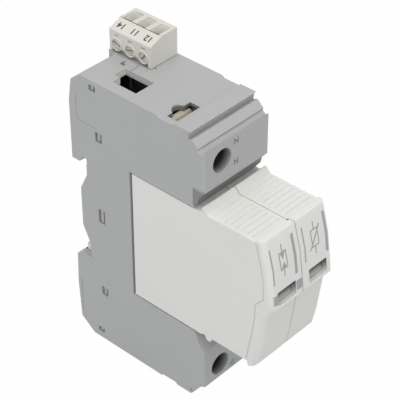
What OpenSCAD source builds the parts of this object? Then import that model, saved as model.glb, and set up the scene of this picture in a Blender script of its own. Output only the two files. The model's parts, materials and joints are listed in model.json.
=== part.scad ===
// Two-channel pluggable surge arrester for a 35 mm top-hat rail.
// X runs along the rail, the front faces -Y and Z is up.
// The origin is the rail seat: mid width, rail flange plane, rail centre line.

/* [Case] */
// Width of one channel
channel_w = 12.8; // [12.4:0.1:18]
// Top face above the rail centre
case_top = 45.1; // [44.5:0.1:50]
// Bottom face below the rail centre
case_bottom = 46.9; // [46:0.1:52]
// Front faces of the terminal blocks before the rail seat
case_front = 44.2; // [43.5:0.1:50]
// Back faces of the terminal blocks behind the rail seat
case_back = 5.8; // [5.4:0.1:8]
// Wall of the base housing
wall = 1.6; // [1.2:0.1:2]
// Thickness of the side cover
cover_t = 1.6; // [1.2:0.1:2.2]
// Radius of the upright front edge at the left
edge_r = 0.9; // [0.5:0.1:2]
// Radius of the upright front edge at the right
edge_r_right = 0.7; // [0.3:0.1:2]
// Depth of the shallow band round the conductor entries
band_deep = 0.6; // [0.3:0.1:1]

/* [Rail] */
// Height of the rail over its flanges
rail_h = 35; // [35:0.1:35.5]
// Thickness of the rail flange
rail_t = 1; // [0.8:0.1:1.3]
// Reach of the fixed hook behind the flange
hook_reach = 1.75; // [1:0.05:2.5]
// Reach of the latch nose behind the flange
latch_reach = 1.9; // [1:0.1:2.5]
// Travel of the latch
latch_travel = 3.5; // [2.5:0.1:4]
// Thickness of the latch
latch_t = 2.9; // [2:0.1:3]
// Wall of the base beside the latch head
latch_side = 2.6; // [2.4:0.1:5]
// Width of the latch stem
latch_stem_w = 10; // [8:0.1:12]

/* [Plug] */
// Half height of the slot that takes the plugs
slot_half = 21.6; // [21.2:0.1:22.4]
// Back wall of the slot before the rail seat
slot_back = 17; // [16.5:0.1:18]
// Front of the plugs before the rail seat
plug_front = 68.2; // [67:0.1:72]
// Play between a plug and its neighbours at each side
plug_gap = 0.1; // [0.05:0.05:0.3]
// Play between a plug and the slot, above and below
slot_play = 0.3; // [0.2:0.05:0.6]
// Gap between a plug and the back wall of its slot
plug_seat = 0.7; // [0.3:0.1:0.9]
// Wall of the plug housing
plug_wall = 1.2; // [1:0.1:1.6]
// Wall of the plug front
face_t = 1.2; // [1:0.1:1.5]
// Bevel of the outer upright front edge of a plug
plug_bevel = 1.2; // [0.6:0.1:1.8]
// Bevel of the upright front edges where the plugs meet
seam_bevel = 0.2; // [0.1:0.1:1.2]
// Width of the status window
window_w = 7.2; // [5:0.1:8.4]
// Height of the status window
window_h = 4.4; // [3.5:0.1:4.6]
// Bottom edge of the status window above the rail centre
window_z = 1.6; // [1.4:0.1:2.2]
// Grip ribs on top of a plug
rib_count = 8; // [4:1:10]
// Depth of the grooves between the ribs
rib_deep = 0.2; // [0.1:0.05:0.6]

/* [Terminals] */
// Diameter of the screwdriver access
access_d = 7; // [6:0.1:7.2]
// Depth of the screw behind the front face
screw_sink = 7; // [6.6:0.1:7.6]
// Outer diameter of the terminal screw
screw_d = 5.8; // [4:0.1:6]
// Length of the terminal screw
screw_len = 6.5; // [5.8:0.1:7]
// Travel of the clamp plate from its closed to its open stop
clamp_open = 3.4; // [2.8:0.1:3.6]
// Thickness of the clamp plate
clamp_t = 1.4; // [1:0.1:1.8]
// Thickness of the busbars
bar_t = 1.6; // [1.2:0.1:1.8]
// Clear width of the clamp frame
frame_w = 6.6; // [6.2:0.1:7]
// Height of the clamp frame along the conductor
frame_h = 9.2; // [7:0.1:10]
// Distance of the upper screw below the top face
screw_down = 10.2; // [9.8:0.1:11]
// Distance of the lower screws above the bottom face
screw_up = 10.4; // [10:0.1:11]
// Shift of the terminals from the channel middle towards the partition
term_shift = 0.6; // [0:0.1:0.8]

/* [Contacts] */
// Thickness of the contact blades
blade_t = 1; // [0.8:0.1:1.2]
// Height of the contact blades
blade_h = 6.4; // [5:0.1:7]
// Distance of the contact blades from the ends of the slot
blade_in = 7.6; // [7:0.1:8.6]
// Length of a blade behind the plug
blade_len = 5.6; // [4.8:0.1:6]
// Sheet of the contact clips
clip_t = 0.8; // [0.6:0.1:1]

/* [Signalling] */
// Diameter of the lever pin
pin_d = 1.6; // [1.2:0.1:2]
// Width of the lever fingers
finger_w = 2; // [1.6:0.1:2.4]
// Reach of the fingers past the slot wall
finger_reach = 4.8; // [4.6:0.1:5.2]
// Thickness of the signalling board
board_t = 1.6; // [1:0.1:1.6]

/* [Remote connector] */
// Distance between the poles
pole_pitch = 5; // [4.6:0.01:5.08]
// Length of the connector over its poles
connector_len = 15.5; // [15.2:0.1:16]
// Left side of the connector, right of the middle
connector_left = 1.7; // [1.5:0.1:2.2]
// Height of the connector above the case
connector_h = 8.5; // [8:0.1:10]
// Depth of the connector in its socket
socket_deep = 6.9; // [6:0.1:7.4]
// Middle of the connector before the rail seat
connector_y = 4.0; // [3.6:0.1:4.4]
// Set-back of the connector from the right side
connector_inset = 0.6; // [0.4:0.1:0.8]

/* [Hidden] */
$fn = 48;
// Overrun of a cut past the face that it leaves
eps = 0.5;
// Gap between pieces that only locate each other
fit = 0.1;
// Gap between a screw and its thread
thread_fit = 0.08;

half_w = channel_w;
left_x = -channel_w / 2;
right_x = channel_w / 2;
inner_left = -half_w + cover_t;
inner_right = half_w - wall;
partition_t = 1.2;
grey = "#a4a6a8";
white = "#dededd";
cream = "#e0ddd6";
tin = "#c9c4b8";
copper = "#c58a5a";
steel = "#b8b8ba";
black = "#2b2c2e";

// Places of the terminals
n_x = left_x + term_shift;
l_x = right_x - term_shift;
n_z = case_top - screw_down;
low_z = -(case_bottom - screw_up);
screw_y = -(case_front - screw_sink);
plate_y = screw_y + screw_len + fit;
frame_front_t = 2.6;
frame_wall = 1;
frame_front_y = plate_y - clamp_open - fit * 2 - frame_front_t;
wire_least = 2;
bar_y = plate_y + clamp_t + wire_least;
frame_back_y = bar_y + bar_t;
frame_back_t = 1.6;
bar_w = frame_w - 0.2;

// Chambers
roof = case_top - band_deep - wall;
floor_up = slot_half + wall;
floor_low = -(slot_half + wall);
spine_front = -(slot_back - wall);
spine_back = -wall;
hook_z = rail_h / 2 - hook_reach;
slot_z = rail_h / 2 + 0.25;
seat_z = rail_h / 2 - 1.5;
seat_relief = 0.2;
channel_front = rail_t;
channel_back = rail_t + latch_t + 0.6;
low_back = channel_front - wall;

// Plug
plug_w = channel_w - plug_gap * 2;
plug_back = -(slot_back + plug_seat);
plug_top = slot_half - slot_play;
blade_z = slot_half - blade_in;
front_slope = 0.1386;
function face_y(z) = -(plug_front + 0.25) + front_slope * z;
beak_low = 0.9;

// Axis of the signal lever and height of its fingers
lever_y = -4.5;
lever_z = 2;
finger_h = 2;

// Case outline, back edge downwards, then front edge upwards, as (Y, Z)
function back_edge() = [
  [case_back - 5, case_top], [case_back - 1.3, case_top - 2.9], [case_back - 0.2, case_top - 10],
  [case_back - 0.2, hook_z], [rail_t + 1.6, hook_z], [rail_t + 0.2, slot_z],
  [-seat_relief, slot_z], [-seat_relief, seat_z], [0, seat_z], [0, 12.3], [2.75, 6.6],
  [2.75, -6.6], [0, -12.2], [0, -seat_z], [-seat_relief, -seat_z], [-seat_relief, -slot_z],
  [case_back - 1.2, -slot_z], [case_back, -slot_z - 1.2], [case_back + 0.4, -29.6],
  [case_back - 0.3, -(case_bottom - 3.9)], [case_back - 5.5, -case_bottom]
];
function bottom_edge() = [
  [-(case_front - 16.5), -(case_bottom - 0.2)], [-(case_front - 16.2), -(case_bottom - 0.7)],
  [-(case_front - 11.1), -(case_bottom - 0.95)], [-(case_front - 10.3), -(case_bottom - 0.3)],
  [-(case_front - 5), -(case_bottom - 0.4)], [-(case_front - 4.5), -(case_bottom - 0.9)],
  [-(case_front - 5.2), -(case_bottom - 2.1)], [-(case_front - 4.8), -(case_bottom - 2.4)],
  [-(case_front - 4.1), -(case_bottom - 1.4)], [-(case_front - 1.1), -(case_bottom - 5.5)],
  [-(case_front - 1.5), -(case_bottom - 5.9)], [-(case_front - 1.2), -(case_bottom - 6.2)],
  [-(case_front - 0.7), -(case_bottom - 5.75)], [-case_front, -(case_bottom - 5.6)]
];
function mouth(side) = [
  [-case_front, side * (slot_half + 6.2)], [-(case_front - 2), side * (slot_half + 3.8)],
  [-(case_front - 2.5), side * (slot_half + 1.8)], [-(case_front - 3.8), side * slot_half]
];
function reversed(list) = [for (i = [len(list) - 1:-1:0]) list[i]];
function slot_edge() = [[-slot_back, -slot_half], [-slot_back, slot_half]];
function brow_edge() = [
  [-case_front, case_top - 4.5], [-(case_front - 1.2), case_top - 5.6],
  [-(case_front - 2.3), case_top - 4.7], [-(case_front - 2.1), case_top - 4],
  [-(case_front - 4.15), case_top - 2], [-(case_front - 5.6), case_top - 2.7],
  [-(case_front - 5.3), case_top - 0.5], [-(case_front - 4.75), case_top - 0.2],
  [-(case_front - 5.1), case_top],
  [-(case_front - 10.2), case_top], [-(case_front - 10.7), case_top - band_deep],
  [-(case_front - 15.8), case_top - band_deep], [-(case_front - 16.6), case_top]
];
function case_outline() = concat(
  back_edge(), bottom_edge(), mouth(-1), slot_edge(), reversed(mouth(1)), brow_edge()
);

// Upper and lower chamber outlines, drawn in by c
function upper_chamber(c) = [
  [spine_back - c, slot_z + wall + c], [case_back - 2 - c, slot_z + wall + c],
  [case_back - 2 - c, case_top - 9], [case_back - 3 - c, case_top - 4.5 - c],
  [case_back - 6 - c, roof - c], [-(case_front - 7.6) + c, roof - c],
  [-(case_front - wall) + c, case_top - 7.2 - c], [-(case_front - wall) + c, slot_half + 6.6],
  [-(case_front - 4) + c, slot_half + 2.6 + c], [-(case_front - 4.6) + c, floor_up + c],
  [spine_front - c, floor_up + c]
];
function lower_chamber(c) = [
  [low_back - c, -(slot_z + wall + c)], [low_back - c, -(case_bottom - wall - c)],
  [-(case_front - 16.5), -(case_bottom - wall - 0.3 - c)],
  [-(case_front - 5.8), -(case_bottom - wall - 2.2 - c)],
  [-(case_front - wall) + c, -(case_bottom - wall - 5.8 - c)],
  [-(case_front - wall) + c, -(slot_half + 6.6)],
  [-(case_front - 4) + c, -(slot_half + 2.6 + c)], [-(case_front - 4.6) + c, floor_low - c],
  [spine_front - c, floor_low - c], [spine_back - c, -(slot_z + wall + c)]
];

// Box between two corners
module block(a, b) {
  translate(a)
    cube(b - a);
}

// Outline in (Y, Z) drawn out along X
module side_slab(x0, x1) {
  translate([x0, 0, 0])
    rotate([90, 0, 90])
      linear_extrude(x1 - x0)
        children();
}

// Outline in (X, Z) drawn out along Y
module front_slab(y0, y1) {
  translate([0, y1, 0])
    rotate([90, 0, 0])
      linear_extrude(y1 - y0)
        children();
}

// Round bar along Y
module rod_y(x, z, y0, y1, d) {
  translate([x, y0, z])
    rotate([-90, 0, 0])
      cylinder(d = d, h = y1 - y0);
}

// Round bar along X
module rod_x(y, z, x0, x1, d) {
  translate([x0, y, z])
    rotate([0, 90, 0])
      cylinder(d = d, h = x1 - x0);
}

// Coil spring along Z, as one swept wire
module coil(x, y, z0, z1, d, wire, turns) {
  sides = 8;
  steps = turns * 14;
  ring = [for (j = [0:sides - 1]) 360 * j / sides];
  points = [
    for (i = [0:steps], a = ring)
      let (t = 360 * turns * i / steps, r = d / 2 - wire / 2 + wire / 2 * cos(a))
        [x + r * cos(t), y + r * sin(t), z0 + wire / 2 + (z1 - z0 - wire) * i / steps + wire / 2 * sin(a)]
  ];
  skin = [
    for (i = [0:steps - 1], j = [0:sides - 1])
      let (k = (j + 1) % sides)
        [i * sides + j, i * sides + k, (i + 1) * sides + k, (i + 1) * sides + j]
  ];
  first = [[for (j = [sides - 1:-1:0]) j]];
  last = [[for (j = [0:sides - 1]) steps * sides + j]];
  polyhedron(points, reversed_faces(concat(skin, first, last)), convexity = 6);
}
function reversed_faces(faces) = [for (f = faces) reversed(f)];

// Base case

// Material taken off an upright front edge; side is -1 or 1
module front_edge_cut(side) {
  r = side > 0 ? edge_r_right : edge_r;
  translate([side * (half_w - r), -(case_front - r), -(case_bottom + eps)])
    difference() {
      translate([side > 0 ? 0 : -(r + eps), -(r + eps), 0])
        cube([r + eps, r + eps, case_top + case_bottom + eps * 2]);
      translate([0, 0, -eps])
        cylinder(r = r, h = case_top + case_bottom + eps * 4);
    }
}

module case_slab(x0, x1, side) {
  difference() {
    side_slab(x0, x1)
      polygon(case_outline());
    front_edge_cut(side);
  }
}

// Conductor entry on top: a slot with a round bay at its back
entry_front = case_front - 11.3;
entry_back = case_front - 14.8;
bay_d = 4.7;
bay_y = -(case_front - 14.05);
module upper_entry_cut() {
  z0 = roof - eps;
  z1 = case_top + eps;
  translate([left_x, bay_y, z0])
    cylinder(d = bay_d, h = z1 - z0);
  block([left_x - 4.25, -entry_front, z0], [left_x + 4.5, -entry_back, z1]);
}
// Conductor entry below: a square hole as wide as the clamp frame
module lower_entry_cut(x) {
  block(
    [x - frame_w / 2, -entry_front, -(case_bottom + eps)],
    [x + frame_w / 2, bar_y, -(case_bottom - wall - 3)]
  );
}

// Opening on top over the left channel, with a narrower part behind it
top_hole_x = [-9.2, -2.45];
top_hole_y = [-16.8, -8.5];
top_hole_step = 2.6;
top_hole_rear = 2.1;
module top_hole_cut() {
  block([top_hole_x[0], top_hole_y[0], roof - eps], [top_hole_x[1], top_hole_y[1], case_top + eps]);
  block(
    [top_hole_x[0] + top_hole_step, top_hole_y[1] - eps, roof - eps],
    [top_hole_x[1], top_hole_y[1] + top_hole_rear, case_top + eps]
  );
}

// Snap hooks of the side cover: (Y, Z) of each window's middle, its width and its height
hook_spots = [
  [-3.7, case_top - 2.6, 2.4, 1.9], [-5.4, 27.2, 2.4, 3.2], [-5.3, 0, 2.4, 4.8],
  [-5.2, -27.7, 2.4, 3.2], [-2.9, -(case_bottom - 3), 2.4, 1.8]
];
hook_play = 0.3;
boss_x = 2.6;
module hook_tips() {
  for (s = hook_spots)
    block(
      [-half_w + 0.5, s[0] - s[2] / 2 + 0.9, s[1] - s[3] / 2 + hook_play],
      [inner_left + eps, s[0] + s[2] / 2 - hook_play, s[1] + s[3] / 2 - hook_play]
    );
}
module hook_bosses() {
  x1 = inner_left + boss_x;
  block([inner_left, -4.9, case_top - 3.5], [x1, -2.5, roof + eps]);
  up = hook_spots[1];
  mid = hook_spots[2];
  low = hook_spots[3];
  block([inner_left, up[0] - up[2] / 2, slot_z - 1], [x1, spine_back + eps, up[1] + up[3] / 2]);
  block([inner_left, mid[0] - mid[2] / 2 - 0.1, lever_z - 4.5], [x1, spine_back + eps, lever_z + 3]);
  block(
    [inner_left, low[0] - low[2] / 2, low[1] - low[3] / 2],
    [x1, low_back + eps, low[1] + low[3] / 2]
  );
  block([inner_left, -4.1, -(case_bottom - wall + eps)], [x1, -1.7, -(case_bottom - 3.9)]);
}
module hook_windows() {
  for (s = hook_spots)
    block(
      [-half_w - eps, s[0] - s[2] / 2, s[1] - s[3] / 2],
      [inner_left + eps, s[0] + s[2] / 2, s[1] + s[3] / 2]
    );
}

module access_sleeve(x, z) {
  rod_y(x, z, -(case_front - 0.4), screw_y - fit, access_d + 2);
}
module access_cut(x, z) {
  rod_y(x, z, -(case_front + eps), screw_y + eps, access_d);
}

// Openings in the slot's back wall for a plug's blades and for the lever's fingers
finger_slot = [lever_z - finger_h / 2 - window_h - 0.6, lever_z + finger_h / 2 + 0.9];
module slot_wall_cuts(x) {
  for (z = [-blade_z, blade_z])
    block(
      [x - blade_t / 2 - 0.4, -slot_back - eps, z - blade_h / 2 - 0.5],
      [x + blade_t / 2 + 0.4, spine_front + eps, z + blade_h / 2 + 0.5]
    );
  block(
    [x - finger_w / 2 - 0.5, -slot_back - eps, finger_slot[0]],
    [x + finger_w / 2 + 0.5, spine_front + eps, finger_slot[1]]
  );
}

// Latch guide, with the stem's narrower part below
latch_play = 0.2;
latch_head_w = (half_w - latch_side) * 2;
latch_step = -(slot_z + 6.5);
latch_low = -(case_bottom + 1.8);
module latch_cut() {
  block(
    [-latch_head_w / 2 - latch_play, channel_front, latch_step - latch_travel - 0.4],
    [latch_head_w / 2 + latch_play, channel_back, -slot_z + eps]
  );
  block(
    [-latch_stem_w / 2 - latch_play, channel_front, -(case_bottom + eps)],
    [latch_stem_w / 2 + latch_play, channel_back, latch_step]
  );
}
peg_half = 1.3;
peg_z = [-(case_bottom - 3.4), -(case_bottom - 5.4)];
module latch_peg() {
  block([-peg_half, channel_front - eps, peg_z[0]], [peg_half, channel_back + eps, peg_z[1]]);
}

// Socket of the remote connector
connector_right = half_w - connector_inset;
connector_front = -connector_y - connector_len / 2;
connector_rear = -connector_y + connector_len / 2;
socket_wall = 1.1;
socket_floor = case_top - socket_deep - 2.6;
header_t = 1.8;
lip_h = 0.25;
module socket_tower() {
  block(
    [connector_left - 0.2, connector_front - 0.2, socket_floor],
    [half_w, connector_rear + 0.3, case_top]
  );
  block([connector_left - 1.6, connector_front + 0.4, roof], [connector_left - 0.4, 1.2, case_top + lip_h]);
}
module socket_cut() {
  block(
    [connector_left + socket_wall, connector_front + socket_wall, socket_floor - eps],
    [connector_right - socket_wall + 0.2, connector_rear - socket_wall + 0.2, case_top + eps]
  );
}

module main_housing() {
  color(grey)
    difference() {
      union() {
        difference() {
          case_slab(inner_left, half_w, 1);
          side_slab(inner_left - eps, inner_right)
            polygon(upper_chamber(0));
          side_slab(inner_left - eps, inner_right)
            polygon(lower_chamber(0));
          block([inner_left - eps, spine_front, floor_low - 4], [inner_right, spine_back, floor_up + 4]);
          latch_cut();
        }
        socket_tower();
        access_sleeve(n_x, n_z);
        access_sleeve(n_x, low_z);
        access_sleeve(l_x, low_z);
        hook_bosses();
        hook_tips();
        latch_peg();
        block([inner_right - boss_x, -6.6, lever_z - 2], [inner_right + eps, spine_back + eps, lever_z + 2]);
      }
      socket_cut();
      top_hole_cut();
      upper_entry_cut();
      lower_entry_cut(n_x);
      lower_entry_cut(l_x);
      access_cut(n_x, n_z);
      access_cut(n_x, low_z);
      access_cut(l_x, low_z);
      slot_wall_cuts(left_x);
      slot_wall_cuts(right_x);
      rod_x(lever_y, lever_z, inner_left - eps, inner_right, pin_d + fit);
    }
}

module side_cover() {
  color(grey)
    difference() {
      case_slab(-half_w, inner_left, -1);
      hook_windows();
    }
}

module upper_partition() {
  color(white)
    difference() {
      side_slab(-partition_t / 2, partition_t / 2)
        polygon(upper_chamber(fit));
      block(
        [-partition_t, drop_y - fit * 4, floor_up - 4],
        [partition_t, drop_y + bar_t + fit * 4, run_z + bar_t + fit * 4]
      );
    }
}

module lower_partition() {
  color(white)
    side_slab(-partition_t / 2, partition_t / 2)
      polygon(lower_chamber(fit));
}

// Busbars and contact clips

// Upright at the clamp, run to the spine, drop to the clip
run_z = floor_up + 1.8;
clip_reach = 4.8;
drop_y = spine_front + clip_reach;
clip_w = blade_t + fit * 2 + clip_t * 2;
module busbar(x, x_clip, z_end, side) {
  z_run = side * run_z;
  run_low = min(z_run, z_run + side * bar_t);
  drop_end = side * (blade_z - blade_h / 2);
  block(
    [x - bar_w / 2, bar_y, min(z_end, run_low)],
    [x + bar_w / 2, bar_y + bar_t, max(z_end, run_low + bar_t)]
  );
  block([x - bar_w / 2, bar_y, run_low], [x + bar_w / 2, drop_y + bar_t, run_low + bar_t]);
  block(
    [x_clip - clip_w / 2, drop_y, min(drop_end, run_low)],
    [x_clip + clip_w / 2, drop_y + bar_t, max(drop_end, run_low + bar_t)]
  );
}

module n_busbar() {
  color(copper) {
    busbar(n_x, left_x, n_z + frame_h / 2, 1);
    block([n_x, drop_y, run_z - 2.6], [right_x + clip_w / 2, drop_y + bar_t, run_z + bar_t]);
    block(
      [right_x - clip_w / 2, drop_y, blade_z - blade_h / 2],
      [right_x + clip_w / 2, drop_y + bar_t, run_z]
    );
  }
}
module pe_busbar() {
  color(copper)
    busbar(n_x, left_x, low_z - frame_h / 2, -1);
}
module l_busbar() {
  color(copper)
    busbar(l_x, right_x, low_z - frame_h / 2, -1);
}

module clip(x, z) {
  y0 = spine_front + 0.2;
  for (side = [-1, 1])
    block(
      [x + side * (blade_t / 2 + fit + clip_t / 2) - clip_t / 2, y0, z - blade_h / 2],
      [x + side * (blade_t / 2 + fit + clip_t / 2) + clip_t / 2, drop_y, z + blade_h / 2]
    );
  block([x - clip_w / 2, drop_y - clip_t, z - blade_h / 2], [x + clip_w / 2, drop_y, z + blade_h / 2]);
}
module n_clip_left() {
  color(tin)
    clip(left_x, blade_z);
}
module n_clip_right() {
  color(tin)
    clip(right_x, blade_z);
}
module pe_clip() {
  color(tin)
    clip(left_x, -blade_z);
}
module l_clip() {
  color(tin)
    clip(right_x, -blade_z);
}

// Terminals

module clamp_frame(x, z) {
  w = frame_w + frame_wall * 2;
  difference() {
    block(
      [x - w / 2, frame_front_y, z - frame_h / 2],
      [x + w / 2, frame_back_y + frame_back_t, z + frame_h / 2]
    );
    block(
      [x - frame_w / 2, frame_front_y + frame_front_t, z - frame_h / 2 - eps],
      [x + frame_w / 2, frame_back_y, z + frame_h / 2 + eps]
    );
    rod_y(x, z, frame_front_y - eps, frame_front_y + frame_front_t + eps, screw_d + thread_fit * 2);
  }
}

// Clamp plate with a rolled head that shuts the conductor entry while the clamp is closed
plate_play = 0.3;
head_r = 1.6;
head_back = 0.5;
head_half = frame_w / 2 + 0.55;
head_gap = 0.7;
head_y = plate_y + 1.9;
module clamp_plate(x, z, tip) {
  side = tip > z ? 1 : -1;
  root = z + side * (frame_h / 2 - plate_play - eps);
  neck = z + side * (frame_h / 2 + head_gap + 0.4);
  foot = z + side * (frame_h / 2 + head_gap);
  w = frame_w / 2 - plate_play;
  block(
    [x - w, plate_y, z - frame_h / 2 + plate_play],
    [x + w, plate_y + clamp_t, z + frame_h / 2 - plate_play]
  );
  block([x - w, plate_y, min(root, neck)], [x + w, plate_y + clamp_t, max(root, neck)]);
  intersection() {
    rod_x(head_y, tip - side * head_r, x - head_half, x + head_half, head_r * 2);
    block(
      [x - head_half - eps, head_y - head_r - eps, min(foot, tip)],
      [x + head_half + eps, head_y + head_back, max(foot, tip)]
    );
  }
}

// Headless screw with a cross recess
recess_w = 1;
recess_deep = 1.8;
module terminal_screw(x, z) {
  difference() {
    rod_y(x, z, screw_y, screw_y + screw_len, screw_d);
    block(
      [x - screw_d * 0.36, screw_y - eps, z - recess_w / 2],
      [x + screw_d * 0.36, screw_y + recess_deep, z + recess_w / 2]
    );
    block(
      [x - recess_w / 2, screw_y - eps, z - screw_d * 0.36],
      [x + recess_w / 2, screw_y + recess_deep, z + screw_d * 0.36]
    );
  }
}

upper_tip = roof - 0.2;
lower_tip = -(case_bottom - wall - 2.1);
module n_clamp_frame() {
  color(steel)
    clamp_frame(n_x, n_z);
}
module pe_clamp_frame() {
  color(steel)
    clamp_frame(n_x, low_z);
}
module l_clamp_frame() {
  color(steel)
    clamp_frame(l_x, low_z);
}
module n_clamp_plate() {
  color(tin)
    clamp_plate(n_x, n_z, upper_tip);
}
module pe_clamp_plate() {
  color(tin)
    clamp_plate(n_x, low_z, lower_tip);
}
module l_clamp_plate() {
  color(tin)
    clamp_plate(l_x, low_z, lower_tip);
}
module n_screw() {
  color(steel)
    terminal_screw(n_x, n_z);
}
module pe_screw() {
  color(steel)
    terminal_screw(n_x, low_z);
}
module l_screw() {
  color(steel)
    terminal_screw(l_x, low_z);
}

// Rail latch and its spring

latch_top = -(rail_h / 2 - latch_reach);
latch_y = channel_front + 0.3;
spring_d = 2.2;
latch_window = [-(case_bottom - 3), -(slot_z + 12)];
module rail_latch() {
  color(white)
    difference() {
      union() {
        side_slab(-latch_head_w / 2, latch_head_w / 2)
          polygon([
            [latch_y, latch_step], [latch_y, latch_top - 1.2], [latch_y + 1.2, latch_top],
            [latch_y + latch_t, latch_top], [latch_y + latch_t, latch_step]
          ]);
        block([-latch_stem_w / 2, latch_y, latch_low], [latch_stem_w / 2, latch_y + latch_t, latch_step + eps]);
      }
      block(
        [-peg_half - 0.4, latch_y - eps, latch_window[0] - 0.4],
        [peg_half + 0.4, latch_y + latch_t + eps, latch_window[1]]
      );
      block([-2, latch_y - eps, latch_low + 0.6], [2, latch_y + latch_t + eps, latch_low + 1.7]);
    }
}
module latch_spring() {
  color(steel)
    coil(0, latch_y + latch_t / 2, peg_z[1] + fit, latch_window[1] - fit, spring_d, 0.4, 9);
}

// Plugs

// Seam between a plug's housing and its cap, downwards
function seam() = [
  [-(plug_front - 4.4), 15.2], [-(plug_front - 3.4), 10.3], [-(plug_front - 3), 4],
  [-(plug_front - 5.8), 0.8], [-(plug_front - 5.8), -3.7], [-(plug_front - 6.9), -11.2],
  [-(plug_front - 8.4), -(slot_half - 1.9)]
];
plug_low = -(slot_half - 0.8);
function plug_outline() = concat(
  [
    [plug_back, -plug_top], [plug_back, plug_top], [-(case_front - 2.6), plug_top],
    [-(case_front - 1.3), slot_half + 0.3], [-(case_front - 0.8), slot_half + 1.6],
    [-(case_front - 0.4), slot_half + 1.6], [-(case_front + 1), slot_half - 0.1],
    [-(plug_front - 6.2), slot_half - 0.1]
  ],
  [for (i = [0:5]) seam()[i]],
  [
    seam()[6], [-(plug_front - 8.2), plug_low], [-(case_front + 2.8), plug_low],
    [-(case_front + 2.4), -(slot_half + 0.4)], [-(case_front + 2.1), -(slot_half + 0.6)],
    [-(case_front + 1.1), -(slot_half + 0.6)], [-(case_front + 0.8), -(slot_half + 0.3)],
    [-(case_front + 0.3), -(plug_top - 0.5)], [-(case_front - 0.6), -(plug_top - 0.5)],
    [-(case_front - 0.9), -plug_top]
  ]
);
plug_inner = plug_w / 2 - plug_wall;
plug_ceiling = plug_top - 1.5;
plug_floor = plug_low + 1.2;
inner_back = plug_back - wall;

module rib_grooves(x) {
  y0 = -(case_front + 2);
  pitch = (plug_front - 7 - case_front - 2) / rib_count;
  for (i = [0:rib_count - 1])
    block(
      [x - plug_w / 2 + plug_wall, y0 - (i + 0.5) * pitch, slot_half - 0.1 - rib_deep],
      [x + plug_w / 2 - plug_wall, y0 - (i + 0.2) * pitch, slot_half + eps]
    );
}

module plug_housing(x) {
  difference() {
    side_slab(x - plug_w / 2, x + plug_w / 2)
      polygon(plug_outline());
    block([x - plug_inner, -plug_front, plug_floor], [x + plug_inner, inner_back, plug_ceiling]);
    for (z = [-blade_z, blade_z])
      block(
        [x - blade_t / 2, inner_back - eps, z - blade_h / 2],
        [x + blade_t / 2, plug_back + eps, z + blade_h / 2]
      );
    block(
      [x - finger_w / 2 - 0.5, inner_back - eps, finger_slot[0]],
      [x + finger_w / 2 + 0.5, plug_back + eps, finger_slot[1]]
    );
    rib_grooves(x);
  }
}

// Convex front bodies of the cap, bevelled along their upright edges
function beak_front() = [
  [-(plug_front - 4), slot_half + 0.6], [-(plug_front - 3.4), slot_half - 1.3], [-(plug_front - 1.6), 13.5],
  [face_y(3.4), 3.4], [-plug_front, beak_low]
];
function chin_front() = [
  [-(plug_front - 2.3), -2.3], [-(plug_front - 3), -7.6], [-(plug_front - 3.9), -14.5],
  [-(plug_front - 5.2), -(slot_half - 1)], [-(plug_front - 6.5), -(slot_half + 0.6)]
];
function set_back(list, c) = [for (p = list) [p[0] + c, p[1]]];
back_line = -(plug_front - 10);
module bevelled(x, front, back) {
  left = x < 0 ? plug_bevel : seam_bevel;
  right = x < 0 ? seam_bevel : plug_bevel;
  hull() {
    side_slab(x - plug_w / 2 + left, x + plug_w / 2 - right)
      polygon(concat(front, back));
    side_slab(x - plug_w / 2, x)
      polygon(concat(set_back(front, left), back));
    side_slab(x, x + plug_w / 2)
      polygon(concat(set_back(front, right), back));
  }
}
module cap_shell(x) {
  difference() {
    union() {
      bevelled(x, concat([[-(plug_front - 6.2), slot_half + 0.6]], beak_front(),
        [[-(plug_front - 2.3), -2.3]]), [[back_line, -2.3], [back_line, slot_half - 0.1]]);
      bevelled(x, chin_front(), [[-(plug_front - 7.8), -(slot_half + 0.6)], [back_line, -(slot_half - 1.9)],
        [back_line, -2.3]]);
    }
    side_slab(x - plug_w, x + plug_w)
      polygon(concat([[0, slot_half + 3], [-(plug_front - 6.2), slot_half + 3]],
        [[-(plug_front - 6.2), slot_half - 0.1]], seam(),
        [[-(plug_front - 8.2), plug_low], [-(plug_front - 7.8), -(slot_half + 3)], [0, -(slot_half + 3)]]));
    side_slab(x - plug_inner, x + plug_inner)
      polygon([
        [-(plug_front - 12), plug_ceiling - 0.6], [-(plug_front - 4.9), plug_ceiling - 0.6],
        [-(plug_front - 1.6) + face_t, 13.3], [face_y(1.2) + face_t, 1.2],
        [-(plug_front - 3.5), -1.8], [-(plug_front - 4.2), -7.5], [-(plug_front - 5.1), -14.2],
        [-(plug_front - 6.4), plug_floor + 0.2], [-(plug_front - 12), plug_floor + 0.2]
      ]);
  }
}

// Sill and guides behind the status window, as deep as the flag needs
module window_guide(x) {
  difference() {
    front_plate(
      x, window_w + guide_w * 2, window_z - 1, field_top, face_t - guide_root,
      field_deep - face_t + guide_root - fit
    );
    front_plate(x, window_w, window_z + window_h, field_top + eps, face_t, field_deep);
  }
}
module plug_cap(x) {
  difference() {
    union() {
      cap_shell(x);
      window_guide(x);
    }
    block(
      [x - window_w / 2, -(plug_front + eps), window_z],
      [x + window_w / 2, face_y(window_z) + field_deep + 1, window_z + window_h]
    );
  }
}

// Plate parallel to the plug's front, between two heights, at a depth behind it
module front_plate(x, w, z0, z1, depth, t) {
  side_slab(x - w / 2, x + w / 2)
    polygon([
      [face_y(z0) + depth, z0], [face_y(z0) + depth + t, z0],
      [face_y(z1) + depth + t, z1], [face_y(z1) + depth, z1]
    ]);
}
flag_t = 0.4;
flag_gap = 0.15;
guide_w = 1;
guide_root = 0.3;
field_deep = face_t + flag_gap * 2 + flag_t;
field_w = plug_inner * 2 - fit * 2;
field_top = window_z + window_h + 0.6;
flag_low = window_z + window_h + 0.6;
flag_high = flag_low + window_h + 2.3;
module status_field(x) {
  front_plate(x, field_w, window_z - 0.5, field_top, field_deep, 0.6);
}

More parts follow.
